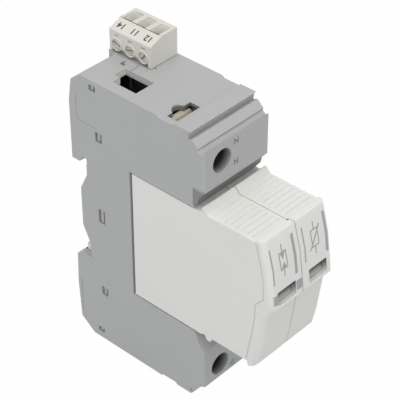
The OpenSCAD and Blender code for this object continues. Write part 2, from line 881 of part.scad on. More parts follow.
// Blade through the plug's back wall, with the strip that meets the protective element
strip_len = 12;
module plug_blade(x, z) {
  block(
    [x - blade_t / 2, inner_back - strip_len, z - blade_h / 2],
    [x + blade_t / 2, plug_back + blade_len, z + blade_h / 2]
  );
}

module gap_plug_housing() {
  color(white)
    plug_housing(left_x);
}
module gap_plug_cap() {
  color(white)
    plug_cap(left_x);
}
module gap_status_field() {
  color("#3d7a52")
    status_field(left_x);
}
module gap_upper_blade() {
  color(tin)
    plug_blade(left_x, blade_z);
}
module gap_lower_blade() {
  color(tin)
    plug_blade(left_x, -blade_z);
}

// Spark gap: a ceramic barrel between two flanged ends that touch the blades
gap_y = inner_back - strip_len + 3.2;
gap_d = plug_inner * 2 - 0.4;
flange_h = 1.6;
module spark_gap() {
  z_end = blade_z - blade_h / 2 - fit;
  color("#d9d5cc")
    translate([left_x, gap_y - 5, -z_end])
      rotate_extrude()
        polygon([
          [0, 0], [gap_d / 2 - 0.6, 0], [gap_d / 2 - 0.6, flange_h], [gap_d / 2, flange_h],
          [gap_d / 2, z_end * 2 - flange_h], [gap_d / 2 - 0.6, z_end * 2 - flange_h],
          [gap_d / 2 - 0.6, z_end * 2], [0, z_end * 2]
        ]);
}

module mov_plug_housing() {
  color(white)
    plug_housing(right_x);
}
module mov_plug_cap() {
  color(white)
    plug_cap(right_x);
}
module mov_status_field() {
  color("#3d7a52")
    status_field(right_x);
}
module mov_upper_blade() {
  color(tin)
    plug_blade(right_x, blade_z);
}
module mov_lower_blade() {
  color(tin)
    plug_blade(right_x, -blade_z);
}

// Varistor: a coated square plate with cut corners beside the blades
varistor_half = 16;
varistor_gap = 6.1;
varistor_y = inner_back - varistor_gap - varistor_half;
varistor_cut = 4;
module varistor() {
  h = varistor_half;
  c = varistor_cut;
  color("#3f6f9c")
    side_slab(right_x + blade_t / 2 + fit, right_x + plug_inner - fit)
      translate([varistor_y, 0])
        polygon([
          [-h + c, -h], [h - c, -h], [h, -h + c], [h, h - c],
          [h - c, h], [-h + c, h], [-h, h - c], [-h, -h + c]
        ]);
}

// Disconnector slider: a bar beside the varistor, its foot over the lever's finger, its arm to the flag
foot_gap = 0.2;
bar_x = [right_x - plug_inner + 0.6, right_x - blade_t / 2 - 0.9];
bar_low = lever_z + finger_h / 2 + 1.6;
bar_h = 2.4;
bar_z = [bar_low, bar_low + bar_h];
post_front = -(plug_front - 7.2);
post_w = 2.4;
post_y = [post_front, post_front + post_w];
arm_z = [flag_high - 2, flag_high];
foot_y = inner_back - 1;
module trip_slider() {
  color("#c8c8c4") {
    block([bar_x[0], post_y[0], bar_z[0]], [bar_x[1], post_y[1], flag_high]);
    block([bar_x[0], post_y[0], bar_z[0]], [bar_x[1], foot_y, bar_z[1]]);
    block(
      [bar_x[0], foot_y - 2.1, lever_z + finger_h / 2 + foot_gap],
      [right_x + finger_w / 2, foot_y, bar_z[1]]
    );
    side_slab(bar_x[0], right_x + 1)
      polygon([
        [face_y(arm_z[0]) + face_t + flag_gap + flag_t, arm_z[0]], [post_y[1], arm_z[0]],
        [post_y[1], arm_z[1]], [face_y(arm_z[1]) + face_t + flag_gap + flag_t, arm_z[1]]
      ]);
  }
}
module trip_flag() {
  color("#b3352f")
    front_plate(right_x, window_w - fit * 2, flag_low, flag_high, face_t + flag_gap, flag_t);
}
module trip_spring() {
  x = (bar_x[0] + bar_x[1]) / 2;
  y = (post_y[0] + post_y[1]) / 2;
  color(steel)
    coil(x, y, flag_high + fit, plug_ceiling - fit, 2, 0.35, 5);
}

// Signalling chain

hub_d = 3.6;
hub_half = half_w - max(wall, cover_t) - boss_x - 0.2;
finger_tip = -(slot_back + finger_reach);
module signal_lever() {
  color(black)
    difference() {
      union() {
        rod_x(lever_y, lever_z, -hub_half, hub_half, hub_d);
        for (x = [left_x, right_x])
          block(
            [x - finger_w / 2, finger_tip, lever_z - finger_h / 2],
            [x + finger_w / 2, lever_y, lever_z + finger_h / 2]
          );
      }
      rod_x(lever_y, lever_z, -hub_half - eps, hub_half + eps, pin_d + fit);
    }
}
module lever_pin() {
  color(steel)
    rod_x(lever_y, lever_z, inner_left, inner_right, pin_d);
}

switch_top = lever_z - 4.6;
switch_h = 6;
switch_len = 11.6;
switch_w = 5.8;
switch_y = [spine_front + 0.8, spine_front + 0.8 + switch_len];
switch_x = [right_x + 1.8 - switch_w, right_x + 1.8];
button_y = lever_y - 2.9;
button_d = 1.4;
button_top = lever_z - finger_h / 2 - 0.25;
board_x = [inner_right - board_t - 0.2, inner_right - 0.2];
module signal_switch() {
  color(black)
    difference() {
      union() {
        block([switch_x[0], switch_y[0], switch_top - switch_h], [switch_x[1], switch_y[1], switch_top]);
        for (i = [0:2])
          block(
            [switch_x[1] - eps, switch_y[0] + 0.8 + i * 2.4, switch_top - switch_h / 2 - 0.3],
            [board_x[0], switch_y[0] + 1.4 + i * 2.4, switch_top - switch_h / 2 + 0.3]
          );
      }
      translate([right_x, button_y, switch_top - 2])
        cylinder(d = button_d + fit * 2, h = 2 + eps);
    }
}
module switch_button() {
  color("#8c2f2a")
    translate([right_x, button_y, switch_top - 0.9])
      cylinder(d = button_d, h = button_top - switch_top + 0.9);
}

pin_x = (connector_left + connector_right) / 2;
header_pin_t = 1;
function pole_y(i) = -connector_y + (i - 1) * pole_pitch;
module signal_board() {
  color("#3c6b4a")
    side_slab(board_x[0], board_x[1])
      polygon([
        [switch_y[0], switch_top - switch_h - 1], [switch_y[0] + 7, switch_top - switch_h - 1],
        [switch_y[0] + 7, socket_floor - 7], [pole_y(2) + 1.6, socket_floor - 7],
        [pole_y(2) + 1.6, socket_floor - fit], [switch_y[0], socket_floor - fit]
      ]);
}
module remote_header() {
  color(black)
    difference() {
      block(
        [connector_left + socket_wall + fit, connector_front + socket_wall + fit, socket_floor],
        [
          connector_right - socket_wall + 0.2 - fit, connector_rear - socket_wall + 0.2 - fit,
          socket_floor + header_t
        ]
      );
      for (i = [0:2])
        block(
          [pin_x - header_pin_t / 2, pole_y(i) - header_pin_t / 2, socket_floor - eps],
          [pin_x + header_pin_t / 2, pole_y(i) + header_pin_t / 2, socket_floor + header_t + eps]
        );
    }
}
module header_pins() {
  low = socket_floor - 3;
  color(tin)
    for (i = [0:2]) {
      block(
        [pin_x - header_pin_t / 2, pole_y(i) - header_pin_t / 2, low],
        [pin_x + header_pin_t / 2, pole_y(i) + header_pin_t / 2, case_top - 1.6]
      );
      block(
        [pin_x, pole_y(i) - header_pin_t / 2, low],
        [board_x[0], pole_y(i) + header_pin_t / 2, low + header_pin_t]
      );
    }
}

// Remote connector

connector_z = case_top + 0.1;
cap_z = connector_z + connector_h;
skirt_z = connector_z + 1.6;
wire_x = [connector_left + 4.3, connector_right - 1.5];
wire_half = 1.65;
wire_floor = connector_z + 1.1;
screw_z = connector_z + 2.6;
clamp_h = 3.9;
collar_d = 3.9;
collar_out = 0.25;
small_head_d = 2.9;
small_shank_d = 1.8;
head_deep = 2.6;
module connector_body() {
  color(cream)
    difference() {
      union() {
        front_slab(connector_front, connector_rear)
          polygon([
            [connector_left, skirt_z], [connector_left, connector_z + 6.7], [connector_left + 4, cap_z - 0.3],
            [connector_left + 4.2, cap_z], [connector_right, cap_z], [connector_right, connector_z],
            [connector_left + 1.6, connector_z], [connector_left + 1.6, skirt_z]
          ]);
        for (y = [connector_front, connector_rear - 1])
          block([connector_left, y, connector_z], [connector_left + 1.7, y + 1, skirt_z + eps]);
        for (i = [0:2])
          rod_x(pole_y(i), screw_z, connector_left - collar_out, connector_left + 2, collar_d);
        block(
          [connector_left + socket_wall + 0.2, connector_front + socket_wall + 0.2, case_top - socket_deep],
          [connector_right - socket_wall, connector_rear - socket_wall, connector_z + eps]
        );
      }
      for (i = [0:2]) {
        block(
          [wire_x[0], pole_y(i) - wire_half, wire_floor],
          [wire_x[1], pole_y(i) + wire_half, cap_z + eps]
        );
        rod_x(pole_y(i), screw_z, connector_left - eps, connector_left + head_deep, small_head_d + fit * 2);
        rod_x(pole_y(i), screw_z, connector_left, wire_x[0] + eps, small_shank_d + fit * 2);
        translate([pin_x, pole_y(i), case_top - socket_deep - eps])
          cylinder(d = header_pin_t * 1.9, h = socket_deep + eps);
      }
    }
}

// Clamps in the wire entries: open boxes with the screw's thread in one wall
module connector_clamps() {
  color(tin)
    for (i = [0:2])
      difference() {
        block(
          [wire_x[0] + fit, pole_y(i) - wire_half + fit, wire_floor],
          [wire_x[1] - fit, pole_y(i) + wire_half - fit, wire_floor + clamp_h]
        );
        block(
          [wire_x[0] + 1, pole_y(i) - wire_half + 0.6, wire_floor + 0.6],
          [wire_x[1] - 0.7, pole_y(i) + wire_half - 0.6, wire_floor + clamp_h + eps]
        );
        rod_x(pole_y(i), screw_z, wire_x[0] - eps, wire_x[0] + 1.5, small_shank_d + thread_fit * 2);
      }
}

module connector_screw(i) {
  head_x = connector_left + 0.1;
  color(steel)
    difference() {
      union() {
        rod_x(pole_y(i), screw_z, head_x, connector_left + head_deep - 0.2, small_head_d);
        rod_x(pole_y(i), screw_z, head_x, wire_x[0] + 1.2, small_shank_d);
      }
      rotate_slot(pole_y(i), screw_z, i * 35 - 50)
        block([head_x - eps, -small_head_d, -0.25], [head_x + 0.8, small_head_d, 0.25]);
    }
}
// Turns a slot about the axis of a screw along X
module rotate_slot(y, z, angle) {
  translate([0, y, z])
    rotate([angle, 0, 0])
      children();
}
module connector_screw_1() {
  connector_screw(0);
}
module connector_screw_2() {
  connector_screw(1);
}
module connector_screw_3() {
  connector_screw(2);
}

main_housing();
side_cover();
upper_partition();
lower_partition();
n_busbar();
pe_busbar();
l_busbar();
n_clip_left();
n_clip_right();
pe_clip();
l_clip();
n_clamp_frame();
pe_clamp_frame();
l_clamp_frame();
n_clamp_plate();
pe_clamp_plate();
l_clamp_plate();
n_screw();
pe_screw();
l_screw();
rail_latch();
latch_spring();
gap_plug_housing();
gap_plug_cap();
gap_status_field();
gap_upper_blade();
gap_lower_blade();
spark_gap();
mov_plug_housing();
mov_plug_cap();
mov_status_field();
mov_upper_blade();
mov_lower_blade();
varistor();
trip_slider();
trip_flag();
trip_spring();
signal_lever();
lever_pin();
signal_switch();
switch_button();
signal_board();
remote_header();
header_pins();
connector_body();
connector_clamps();
connector_screw_1();
connector_screw_2();
connector_screw_3();
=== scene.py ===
"""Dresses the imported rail-mounted surge arrester: softened mouldings, print, finishes, light and camera."""

import json
import logging
import math
from dataclasses import dataclass, field
from enum import Enum
from typing import Callable, Dict, List, Sequence, Tuple

import bpy
from mathutils import Matrix, Vector

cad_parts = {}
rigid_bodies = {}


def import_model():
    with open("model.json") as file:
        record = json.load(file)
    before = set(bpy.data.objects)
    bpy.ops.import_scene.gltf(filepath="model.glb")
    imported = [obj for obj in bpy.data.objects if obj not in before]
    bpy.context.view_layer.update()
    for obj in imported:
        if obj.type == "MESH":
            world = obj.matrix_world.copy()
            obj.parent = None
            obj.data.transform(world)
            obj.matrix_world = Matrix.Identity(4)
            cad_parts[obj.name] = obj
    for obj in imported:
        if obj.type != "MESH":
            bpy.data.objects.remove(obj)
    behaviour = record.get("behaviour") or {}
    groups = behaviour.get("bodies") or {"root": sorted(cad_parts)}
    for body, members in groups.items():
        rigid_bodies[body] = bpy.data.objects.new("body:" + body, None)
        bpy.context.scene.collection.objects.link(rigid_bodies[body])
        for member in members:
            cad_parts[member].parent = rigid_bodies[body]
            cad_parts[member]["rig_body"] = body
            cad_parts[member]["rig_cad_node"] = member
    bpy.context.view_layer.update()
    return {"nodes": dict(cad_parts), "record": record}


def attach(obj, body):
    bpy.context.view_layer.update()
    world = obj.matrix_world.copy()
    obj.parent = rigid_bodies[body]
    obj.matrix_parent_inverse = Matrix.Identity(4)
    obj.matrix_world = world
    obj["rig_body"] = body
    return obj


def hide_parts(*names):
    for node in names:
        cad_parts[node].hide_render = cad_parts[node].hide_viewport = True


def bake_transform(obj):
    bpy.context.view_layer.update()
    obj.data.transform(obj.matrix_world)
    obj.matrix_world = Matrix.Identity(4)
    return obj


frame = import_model()
LOG = logging.getLogger("surge_arrester")
MM = 0.001
UM = 0.000001
CHANNEL_WIDTH = 12.8 * MM
PRINT_START = 2.0 * MM

Point = Tuple[float, float, float]
Span = Tuple[float, float]
Box = Tuple[float, float, float, float]
Colour = Tuple[int, int, int]
Socket = bpy.types.NodeSocket
Inside = Callable[[float, float], bool]
Share = Callable[[Vector, Vector], float]

ROLLED_STRETCH = 0.08
# Near-black tone of painted shade in holes, bores and under overhangs.
PAINTED_SHADE_TONE: Colour = (26, 26, 26)
# Pale tone of painted light on walls that light falls on.
PAINTED_LIGHT_TONE: Colour = (240, 240, 235)
PLUG_WHITE: Colour = (219, 219, 217)


def mm(*values: float) -> Tuple[float, ...]:
    """Turns millimetres into metres."""
    return tuple(value * MM for value in values)


def linear(colour: Colour, gain: float = 1.0) -> Tuple[float, float, float, float]:
    """Turns a screen colour into scene light.

    Args:
        colour: Red, green and blue from 0 to 255.
        gain: Factor on the light.

    Returns:
        Linear red, green, blue and an alpha of 1.
    """
    parts = []
    for value in colour:
        c = value / 255.0
        parts.append(gain * (c / 12.92 if c <= 0.04045 else ((c + 0.055) / 1.055) ** 2.4))
    return parts[0], parts[1], parts[2], 1.0


@dataclass(frozen=True)
class NodeKit:
    """Adds shader nodes to the tree of a material or the world."""

    tree: bpy.types.NodeTree

    def add(self, kind: str) -> bpy.types.Node:
        """Adds a node of a kind."""
        return self.tree.nodes.new(kind)

    def link(self, start: Socket, end: Socket) -> None:
        """Joins an output to an input."""
        self.tree.links.new(start, end)

    def axes(self, place: Socket) -> List[Socket]:
        """Splits a point.

        Args:
            place: The point.

        Returns:
            Its X, Y and Z.
        """
        parts = self.add("ShaderNodeSeparateXYZ")
        self.link(place, parts.inputs["Vector"])
        return [parts.outputs[axis] for axis in "XYZ"]

    def noise(self, place: Socket, cell: float, detail: float) -> Socket:
        """Adds a noise.

        Args:
            place: The point that it reads.
            cell: Size of its cells in metres.
            detail: Number of its finer layers.

        Returns:
            The noise, from 0 to 1.
        """
        node = self.add("ShaderNodeTexNoise")
        node.inputs["Scale"].default_value = 1.0 / cell
        node.inputs["Detail"].default_value = detail
        self.link(place, node.inputs["Vector"])
        return node.outputs["Fac"]

    def ramp(self, value: Socket, limits: Span, ends: Span = (0.0, 1.0)) -> Socket:
        """Adds a clamped ramp.

        Args:
            value: What it reads.
            limits: The values where it starts and stops.
            ends: What it gives there.

        Returns:
            The ramp's value.
        """
        node = self.add("ShaderNodeMapRange")
        node.inputs["From Min"].default_value, node.inputs["From Max"].default_value = limits
        node.inputs["To Min"].default_value, node.inputs["To Max"].default_value = ends
        self.link(value, node.inputs["Value"])
        return node.outputs["Result"]

    def within(self, value: Socket, limits: Span) -> Socket:
        """Tests a value.

        Args:
            value: What is tested.
            limits: The lowest and highest value that passes.

        Returns:
            1 where it passes, else 0.
        """
        low, high = limits
        node = self.add("ShaderNodeMath")
        node.operation = "COMPARE"
        node.inputs[1].default_value = (low + high) / 2
        node.inputs[2].default_value = (high - low) / 2
        self.link(value, node.inputs[0])
        return node.outputs["Value"]

    def combine(self, operation: str, first: Socket, second: Socket) -> Socket:
        """Joins two values.

        Args:
            operation: The math operation.
            first: The first value.
            second: The second value.

        Returns:
            The result.
        """
        node = self.add("ShaderNodeMath")
        node.operation = operation
        self.link(first, node.inputs[0])
        self.link(second, node.inputs[1])
        return node.outputs["Value"]

    def scaled(self, value: Socket, factor: float) -> Socket:
        """Multiplies a value by a number.

        Args:
            value: The value.
            factor: The number.

        Returns:
            The product.
        """
        node = self.add("ShaderNodeMath")
        node.operation = "MULTIPLY"
        node.inputs[1].default_value = factor
        self.link(value, node.inputs[0])
        return node.outputs["Value"]

    def spread(self, share: Socket, colour: Colour, shade: float) -> Socket:
        """Gives a colour that goes from a darker to a lighter shade.

        Args:
            share: 0 for the darkest, 1 for the lightest.
            colour: The middle colour.
            shade: How far the shades lie from it.

        Returns:
            The colour.
        """
        node = self.add("ShaderNodeMix")
        node.data_type = "RGBA"
        node.inputs["A"].default_value = linear(colour, 1.0 - shade)
        node.inputs["B"].default_value = linear(colour, 1.0 + shade)
        self.link(share, node.inputs["Factor"])
        return node.outputs["Result"]

    def mix(self, share: Socket, first: Socket, second: Colour) -> Socket:
        """Mixes a second colour into a first.

        Args:
            share: Share of the second colour.
            first: The first colour.
            second: The second colour.

        Returns:
            The mixed colour.
        """
        node = self.add("ShaderNodeMix")
        node.data_type = "RGBA"
        node.inputs["B"].default_value = linear(second)
        self.link(share, node.inputs["Factor"])
        self.link(first, node.inputs["A"])
        return node.outputs["Result"]

    def seen(self) -> Socket:
        """Tells the rays that show a surface from those that light others.

        Returns:
            1 for what the camera, a gloss or a clear piece sees, else 0.
        """
        rays = self.add("ShaderNodeLightPath").outputs
        shown = self.combine("MAXIMUM", rays["Is Camera Ray"], rays["Is Glossy Ray"])
        return self.combine("MAXIMUM", shown, rays["Is Transmission Ray"])

    def show(self, share: Socket, first: Socket, second: Socket, end: str) -> None:
        """Mixes two shaders as what the tree shows.

        Args:
            share: Share of the second shader.
            first: The first shader.
            second: The second shader.
            end: Name of the tree's output node.
        """
        node = self.add("ShaderNodeMixShader")
        self.link(share, node.inputs["Fac"])
        self.link(first, node.inputs[1])
        self.link(second, node.inputs[2])
        self.link(node.outputs["Shader"], self.tree.nodes[end].inputs["Surface"])


class Grain(Enum):
    """What breaks up a surface."""

    MOULDED = "spark-eroded mould"
    ROLLED = "rolled or drawn metal"
    CAST = "sintered or coated"
    PRINTED = "ink on moulding"


@dataclass(frozen=True)
class Finish:
    """One finish: its colour, gloss and the scale of its grain."""

    name: str
    colour: Colour
    roughness: float
    metallic: float = 0.0
    grain: Grain = Grain.MOULDED
    grain_mm: float = 0.3
    relief_um: float = 5.0
    shade: float = 0.05
    broad_mm: float = 16.0
    broad_detail: float = 3.0
    fine_detail: float = 2.0
    gloss_spread: float = 0.07
    bump: float = 0.6

    def stretch(self) -> Point:
        """Gives the grain's stretch along X, Y and Z."""
        across = ROLLED_STRETCH if self.grain is Grain.ROLLED else 1.0
        return 1.0, across, across

    def material(self) -> bpy.types.Material:
        """Makes the node material, once.

        Returns:
            The material of this finish.
        """
        found = bpy.data.materials.get(self.name)
        if found is not None:
            return found
        made = bpy.data.materials.new(self.name)
        made.use_nodes = True
        kit = NodeKit(made.node_tree)
        shader = kit.tree.nodes["Principled BSDF"]
        shader.inputs["Metallic"].default_value = self.metallic
        place = kit.add("ShaderNodeTexCoord").outputs["Object"]
        mapping = kit.add("ShaderNodeMapping")
        mapping.inputs["Scale"].default_value = self.stretch()
        kit.link(place, mapping.inputs["Vector"])
        broad = kit.noise(mapping.outputs["Vector"], self.broad_mm * MM, self.broad_detail)
        fine = kit.noise(mapping.outputs["Vector"], self.grain_mm * MM, self.fine_detail)
        average = kit.scaled(kit.combine("ADD", fine, broad), 0.5)
        plain = kit.spread(average, self.colour, self.shade)
        kit.link(self.tone(kit, place, plain), shader.inputs["Base Color"])
        gloss = (self.roughness - self.gloss_spread, self.roughness + self.gloss_spread)
        kit.link(kit.ramp(fine, (0.0, 1.0), gloss), shader.inputs["Roughness"])
        bump = kit.add("ShaderNodeBump")
        bump.inputs["Strength"].default_value = self.bump
        bump.inputs["Distance"].default_value = self.relief_um * UM
        kit.link(fine, bump.inputs["Height"])
        kit.link(bump.outputs["Normal"], shader.inputs["Normal"])
        return made

    def tone(self, kit: NodeKit, place: Socket, colour: Socket) -> Socket:
        """Gives the colour at a point of the object; a plain finish leaves it as it is."""
        return colour


@dataclass(frozen=True)
class PaintedLightBox:
    """A box of a moulding painted with its own tone, as painted shade where the tone is dark and painted
    light where it is pale: its limits, the fade below its top, and the tone's share.
    """

    x: Span
    y: Span
    z: Span
    fade: float
    share: float
    tone: Colour = PAINTED_SHADE_TONE

    def reach(self, kit: NodeKit, axes: Sequence[Socket]) -> Socket:
        """Works out the tone's share at a point.

        Args:
            kit: Adds nodes to the material.
            axes: The point's X, Y and Z.

        Returns:
            The share, which is 0 outside the box.
        """
        top = self.z[1]
        share = kit.ramp(axes[2], (top, top - self.fade), (0.0, self.share))
        for value, limits in zip(axes, (self.x, self.y, self.z)):
            share = kit.combine("MULTIPLY", share, kit.within(value, limits))
        return share


@dataclass(frozen=True)
class PaintedLightFinish(Finish):
    """A finish with painted shade and painted light in boxes of the moulding."""

    painted_boxes: Tuple[PaintedLightBox, ...] = ()

    def tone(self, kit: NodeKit, place: Socket, colour: Socket) -> Socket:
        """Mixes the painted tone of each box into the colour.

        Args:
            kit: Adds nodes to the material.
            place: The point in the object's own metres.
            colour: The colour so far.

        Returns:
            The colour that is used.
        """
        axes = kit.axes(place)
        for painted_box in self.painted_boxes:
            colour = kit.mix(painted_box.reach(kit, axes), colour, painted_box.tone)
        return colour


@dataclass(frozen=True)
class BorePaintedShadeFinish(PaintedLightFinish):
    """A finish that also paints shade down deep bores along Y."""

    bores: Tuple[Span, ...] = ()
    radius: float = 3.6 * MM
    rim_y: float = -44.1 * MM
    dark_y: float = -41.2 * MM
    end_y: float = -30.0 * MM
    darkest: float = 0.93

    def tone(self, kit: NodeKit, place: Socket, colour: Socket) -> Socket:
        """Paints shade inside each bore, darker with the depth.

        Args:
            kit: Adds nodes to the material.
            place: The point in the object's own metres.
            colour: The colour so far.

        Returns:
            The colour with its painted shade.
        """
        colour = super().tone(kit, place, colour)
        y = kit.axes(place)[1]
        depth = kit.ramp(y, (self.rim_y, self.dark_y), (0.0, self.darkest))
        depth = kit.combine("MULTIPLY", depth, kit.within(y, (self.rim_y, self.end_y)))
        flat = kit.add("ShaderNodeVectorMath")
        flat.operation = "MULTIPLY"
        flat.inputs[1].default_value = (1.0, 0.0, 1.0)
        kit.link(place, flat.inputs[0])
        for x, z in self.bores:
            apart = kit.add("ShaderNodeVectorMath")
            apart.operation = "DISTANCE"
            apart.inputs[1].default_value = (x, 0.0, z)
            kit.link(flat.outputs["Vector"], apart.inputs[0])
            near = kit.within(apart.outputs["Value"], (0.0, self.radius))
            colour = kit.mix(kit.combine("MULTIPLY", depth, near), colour, PAINTED_SHADE_TONE)
        return colour


@dataclass(frozen=True)
class PaintedShadeFadeFinish(Finish):
    """A finish that fades to a darker colour up the piece, as painted shade."""

    top_shade_colour: Colour = (0, 0, 0)
    shade_fade_z: Span = (0.0, 1.0)

    def tone(self, kit: NodeKit, place: Socket, colour: Socket) -> Socket:
        """Fades the colour from the low to the high end, as painted shade that is darkest at the top."""
        return kit.mix(kit.ramp(kit.axes(place)[2], self.shade_fade_z), colour, self.top_shade_colour)


@dataclass(frozen=True)
class WindowedFinish(Finish):
    """A finish that lies in shade inside a row of windows, most at their top."""

    windows: Tuple[Span, ...] = ()
    window_z: Span = (0.0, 1.0)
    dark_z: float = 1.0
    share: float = 0.92
    shade_colour: Colour = (64, 76, 68)

    def tone(self, kit: NodeKit, place: Socket, colour: Socket) -> Socket:
        """Shades the walls of the windows.

        Args:
            kit: Adds nodes to the material.
            place: The point in the object's own metres.
            colour: The colour so far.

        Returns:
            The shaded colour.
        """
        x, _, z = kit.axes(place)
        shade = kit.ramp(z, (self.window_z[0], self.dark_z), (0.0, self.share))
        shade = kit.combine("MULTIPLY", shade, kit.within(z, self.window_z))
        for window in self.windows:
            share = kit.combine("MULTIPLY", shade, kit.within(x, window))
            colour = kit.mix(share, colour, self.shade_colour)
        return colour


SCREW_HOLES = (mm(-5.8, 34.9), mm(-5.8, -36.5), mm(5.8, -36.5))
TOP_HOLE = (mm(-9.3, -2.3), mm(-16.9, -6.2))
TOP_RIM = mm(43.2, 44.98)
ENTRY_Y = mm(-33.0, -27.7)
# Painted light and painted shade on the grey base: pale lit walls in the top hole, near-black shade down the
# top hole and the terminal entry, and shade under the upper block's front.
BASE_PAINTED_LIGHT = (
    PaintedLightBox(*TOP_HOLE, TOP_RIM, 0.5 * MM, 0.4, PAINTED_LIGHT_TONE),
    PaintedLightBox(mm(-9.3, -2.5), mm(-8.7, -6.2), TOP_RIM, 0.3 * MM, 0.7, PAINTED_LIGHT_TONE),
    PaintedLightBox(*TOP_HOLE, mm(36.0, 43.3), 0.2 * MM, 0.98),
    PaintedLightBox(mm(-10.75, -1.8), ENTRY_Y, mm(42.8, 44.4), 0.1 * MM, 0.5),
    PaintedLightBox(mm(-3.4, -1.8), ENTRY_Y, mm(36.0, 43.6), 0.2 * MM, 0.97),
    PaintedLightBox(mm(-13.0, 13.0), mm(-44.1, -40.2), mm(22.4, 28.6), 1.0 * MM, 0.48),
)
# Painted shade on the partition plate below the top hole.
PARTITION_PAINTED_SHADE = PaintedLightBox(mm(-2, 2), mm(-24, 2), mm(24, 44), 0.5 * MM, 0.98)
POLES = mm(-9.0, -4.0, 1.0)
WIRE_ENTRY_HALF = 1.7 * MM
# Painted light inside the connector's wire entries.
WIRE_ENTRY_PAINTED_LIGHT = tuple(
    PaintedLightBox(mm(5.95, 10.75), (y - WIRE_ENTRY_HALF, y + WIRE_ENTRY_HALF), mm(46, 53.55), 0.3 * MM, 1.0, PAINTED_LIGHT_TONE)
    for y in POLES
)
PLUG_X = mm(-13.0, 13.0)
GRIP_Z = mm(21.2, 21.7)
# On the plug tops: painted shade at the back beside the base, and painted light on the flat in front of it.
PLUG_TOP_PAINTED_LIGHT = (
    PaintedLightBox(PLUG_X, mm(-45.25, -40.0), mm(21.52, 23.5), 0.1 * MM, 0.09),
    PaintedLightBox(PLUG_X, mm(-48.7, -45.25), GRIP_Z, 0.1 * MM, 0.25, PAINTED_LIGHT_TONE),
    PaintedLightBox(PLUG_X, mm(-50.6, -48.7), GRIP_Z, 0.1 * MM, 0.12, PAINTED_LIGHT_TONE),
)
CAP_WINDOWS = (mm(-10.05, -2.75), mm(2.75, 10.05))
FINISHES: Dict[str, Finish] = {
    "base_grey": BorePaintedShadeFinish(
        "base_grey_moulding", (169, 170, 171), 0.55, relief_um=4.0, bores=SCREW_HOLES, painted_boxes=BASE_PAINTED_LIGHT
    ),
    "plug_white": PaintedLightFinish("plug_white_moulding", PLUG_WHITE, 0.5, relief_um=3.0, painted_boxes=PLUG_TOP_PAINTED_LIGHT),
    "connector_cream": PaintedLightFinish(
        "connector_cream_moulding", (206, 205, 198), 0.45, relief_um=2.5, painted_boxes=WIRE_ENTRY_PAINTED_LIGHT
    ),
    "inner_black": Finish("inner_black_moulding", (38, 38, 40), 0.5),
    "partition_white": PaintedLightFinish("partition_plate", (205, 205, 200), 0.6, painted_boxes=(PARTITION_PAINTED_SHADE,)),
    # The status field is painted darker towards its top: painted shade.
    "status_green": PaintedShadeFadeFinish(
        "status_green_field", (202, 207, 199), 0.6, grain_mm=0.5, relief_um=2.0,
        top_shade_colour=(56, 66, 60), shade_fade_z=mm(1.5, 3.8),
    ),
    "flag_red": Finish("flag_red_field", (176, 52, 44), 0.5, relief_um=2.0),
    "slider_grey": Finish("slider_grey_moulding", (188, 188, 184), 0.5),
    "copper": Finish("copper_strip", (196, 132, 92), 0.32, 1.0, Grain.ROLLED, 0.15, 3.0, 0.08),
    "tin": Finish("tinned_sheet", (196, 187, 170), 0.42, 0.85, Grain.ROLLED, 0.12, 3.0, 0.08),
    "steel": Finish("zinc_plated_steel", (180, 178, 172), 0.38, 0.9, Grain.ROLLED, 0.1, 3.0, 0.08),
    "spark_ceramic": Finish("spark_gap_ceramic", (222, 216, 202), 0.25, grain=Grain.CAST, relief_um=2.0),
    "varistor_blue": Finish(
        "varistor_coating", (48, 92, 138), 0.35, grain=Grain.CAST, grain_mm=0.8, relief_um=20.0
    ),
    "board_green": Finish("board_laminate", (44, 96, 62), 0.4, grain_mm=0.2),
}
CAP_WHITE = WindowedFinish(
    "plug_cap_moulding", PLUG_WHITE, 0.5, relief_um=3.0,
    windows=CAP_WINDOWS, window_z=mm(1.9, 6.05), dark_z=4.9 * MM,
)
GREY_INK = Finish("grey_field_ink", (158, 159, 164), 0.6, grain=Grain.PRINTED, relief_um=1.0)
DARK_INK = Finish("dark_mark_ink", (112, 113, 118), 0.6, grain=Grain.PRINTED, relief_um=1.0)
BLACK_INK = Finish("black_number_ink", (58, 56, 56), 0.6, grain=Grain.PRINTED, relief_um=1.0)
EARTH_INK = Finish("earth_mark_ink", (120, 140, 130), 0.6, grain=Grain.PRINTED, relief_um=1.0)
GROOVE_GREY = Finish("groove_shadow", (118, 120, 122), 0.7, relief_um=1.0)
SEAM_GREY = Finish("plug_seam_shadow", (176, 176, 177), 0.7, relief_um=1.0)
SEAM_DARK = Finish("seam_shadow", (92, 93, 94), 0.7, relief_um=1.0)
EDGE_LIGHT = Finish("panel_edge_light", (188, 190, 192), 0.6, relief_um=1.0)
CLAMP_METAL = Finish("clamp_plate_plating", (188, 179, 165), 0.6, 0.3, Grain.CAST, 0.5, 30.0, 0.25)
SMALL_METAL = Finish("small_screw_plating", (196, 192, 182), 0.55, 0.35, Grain.ROLLED, 0.1, 3.0, 0.08)


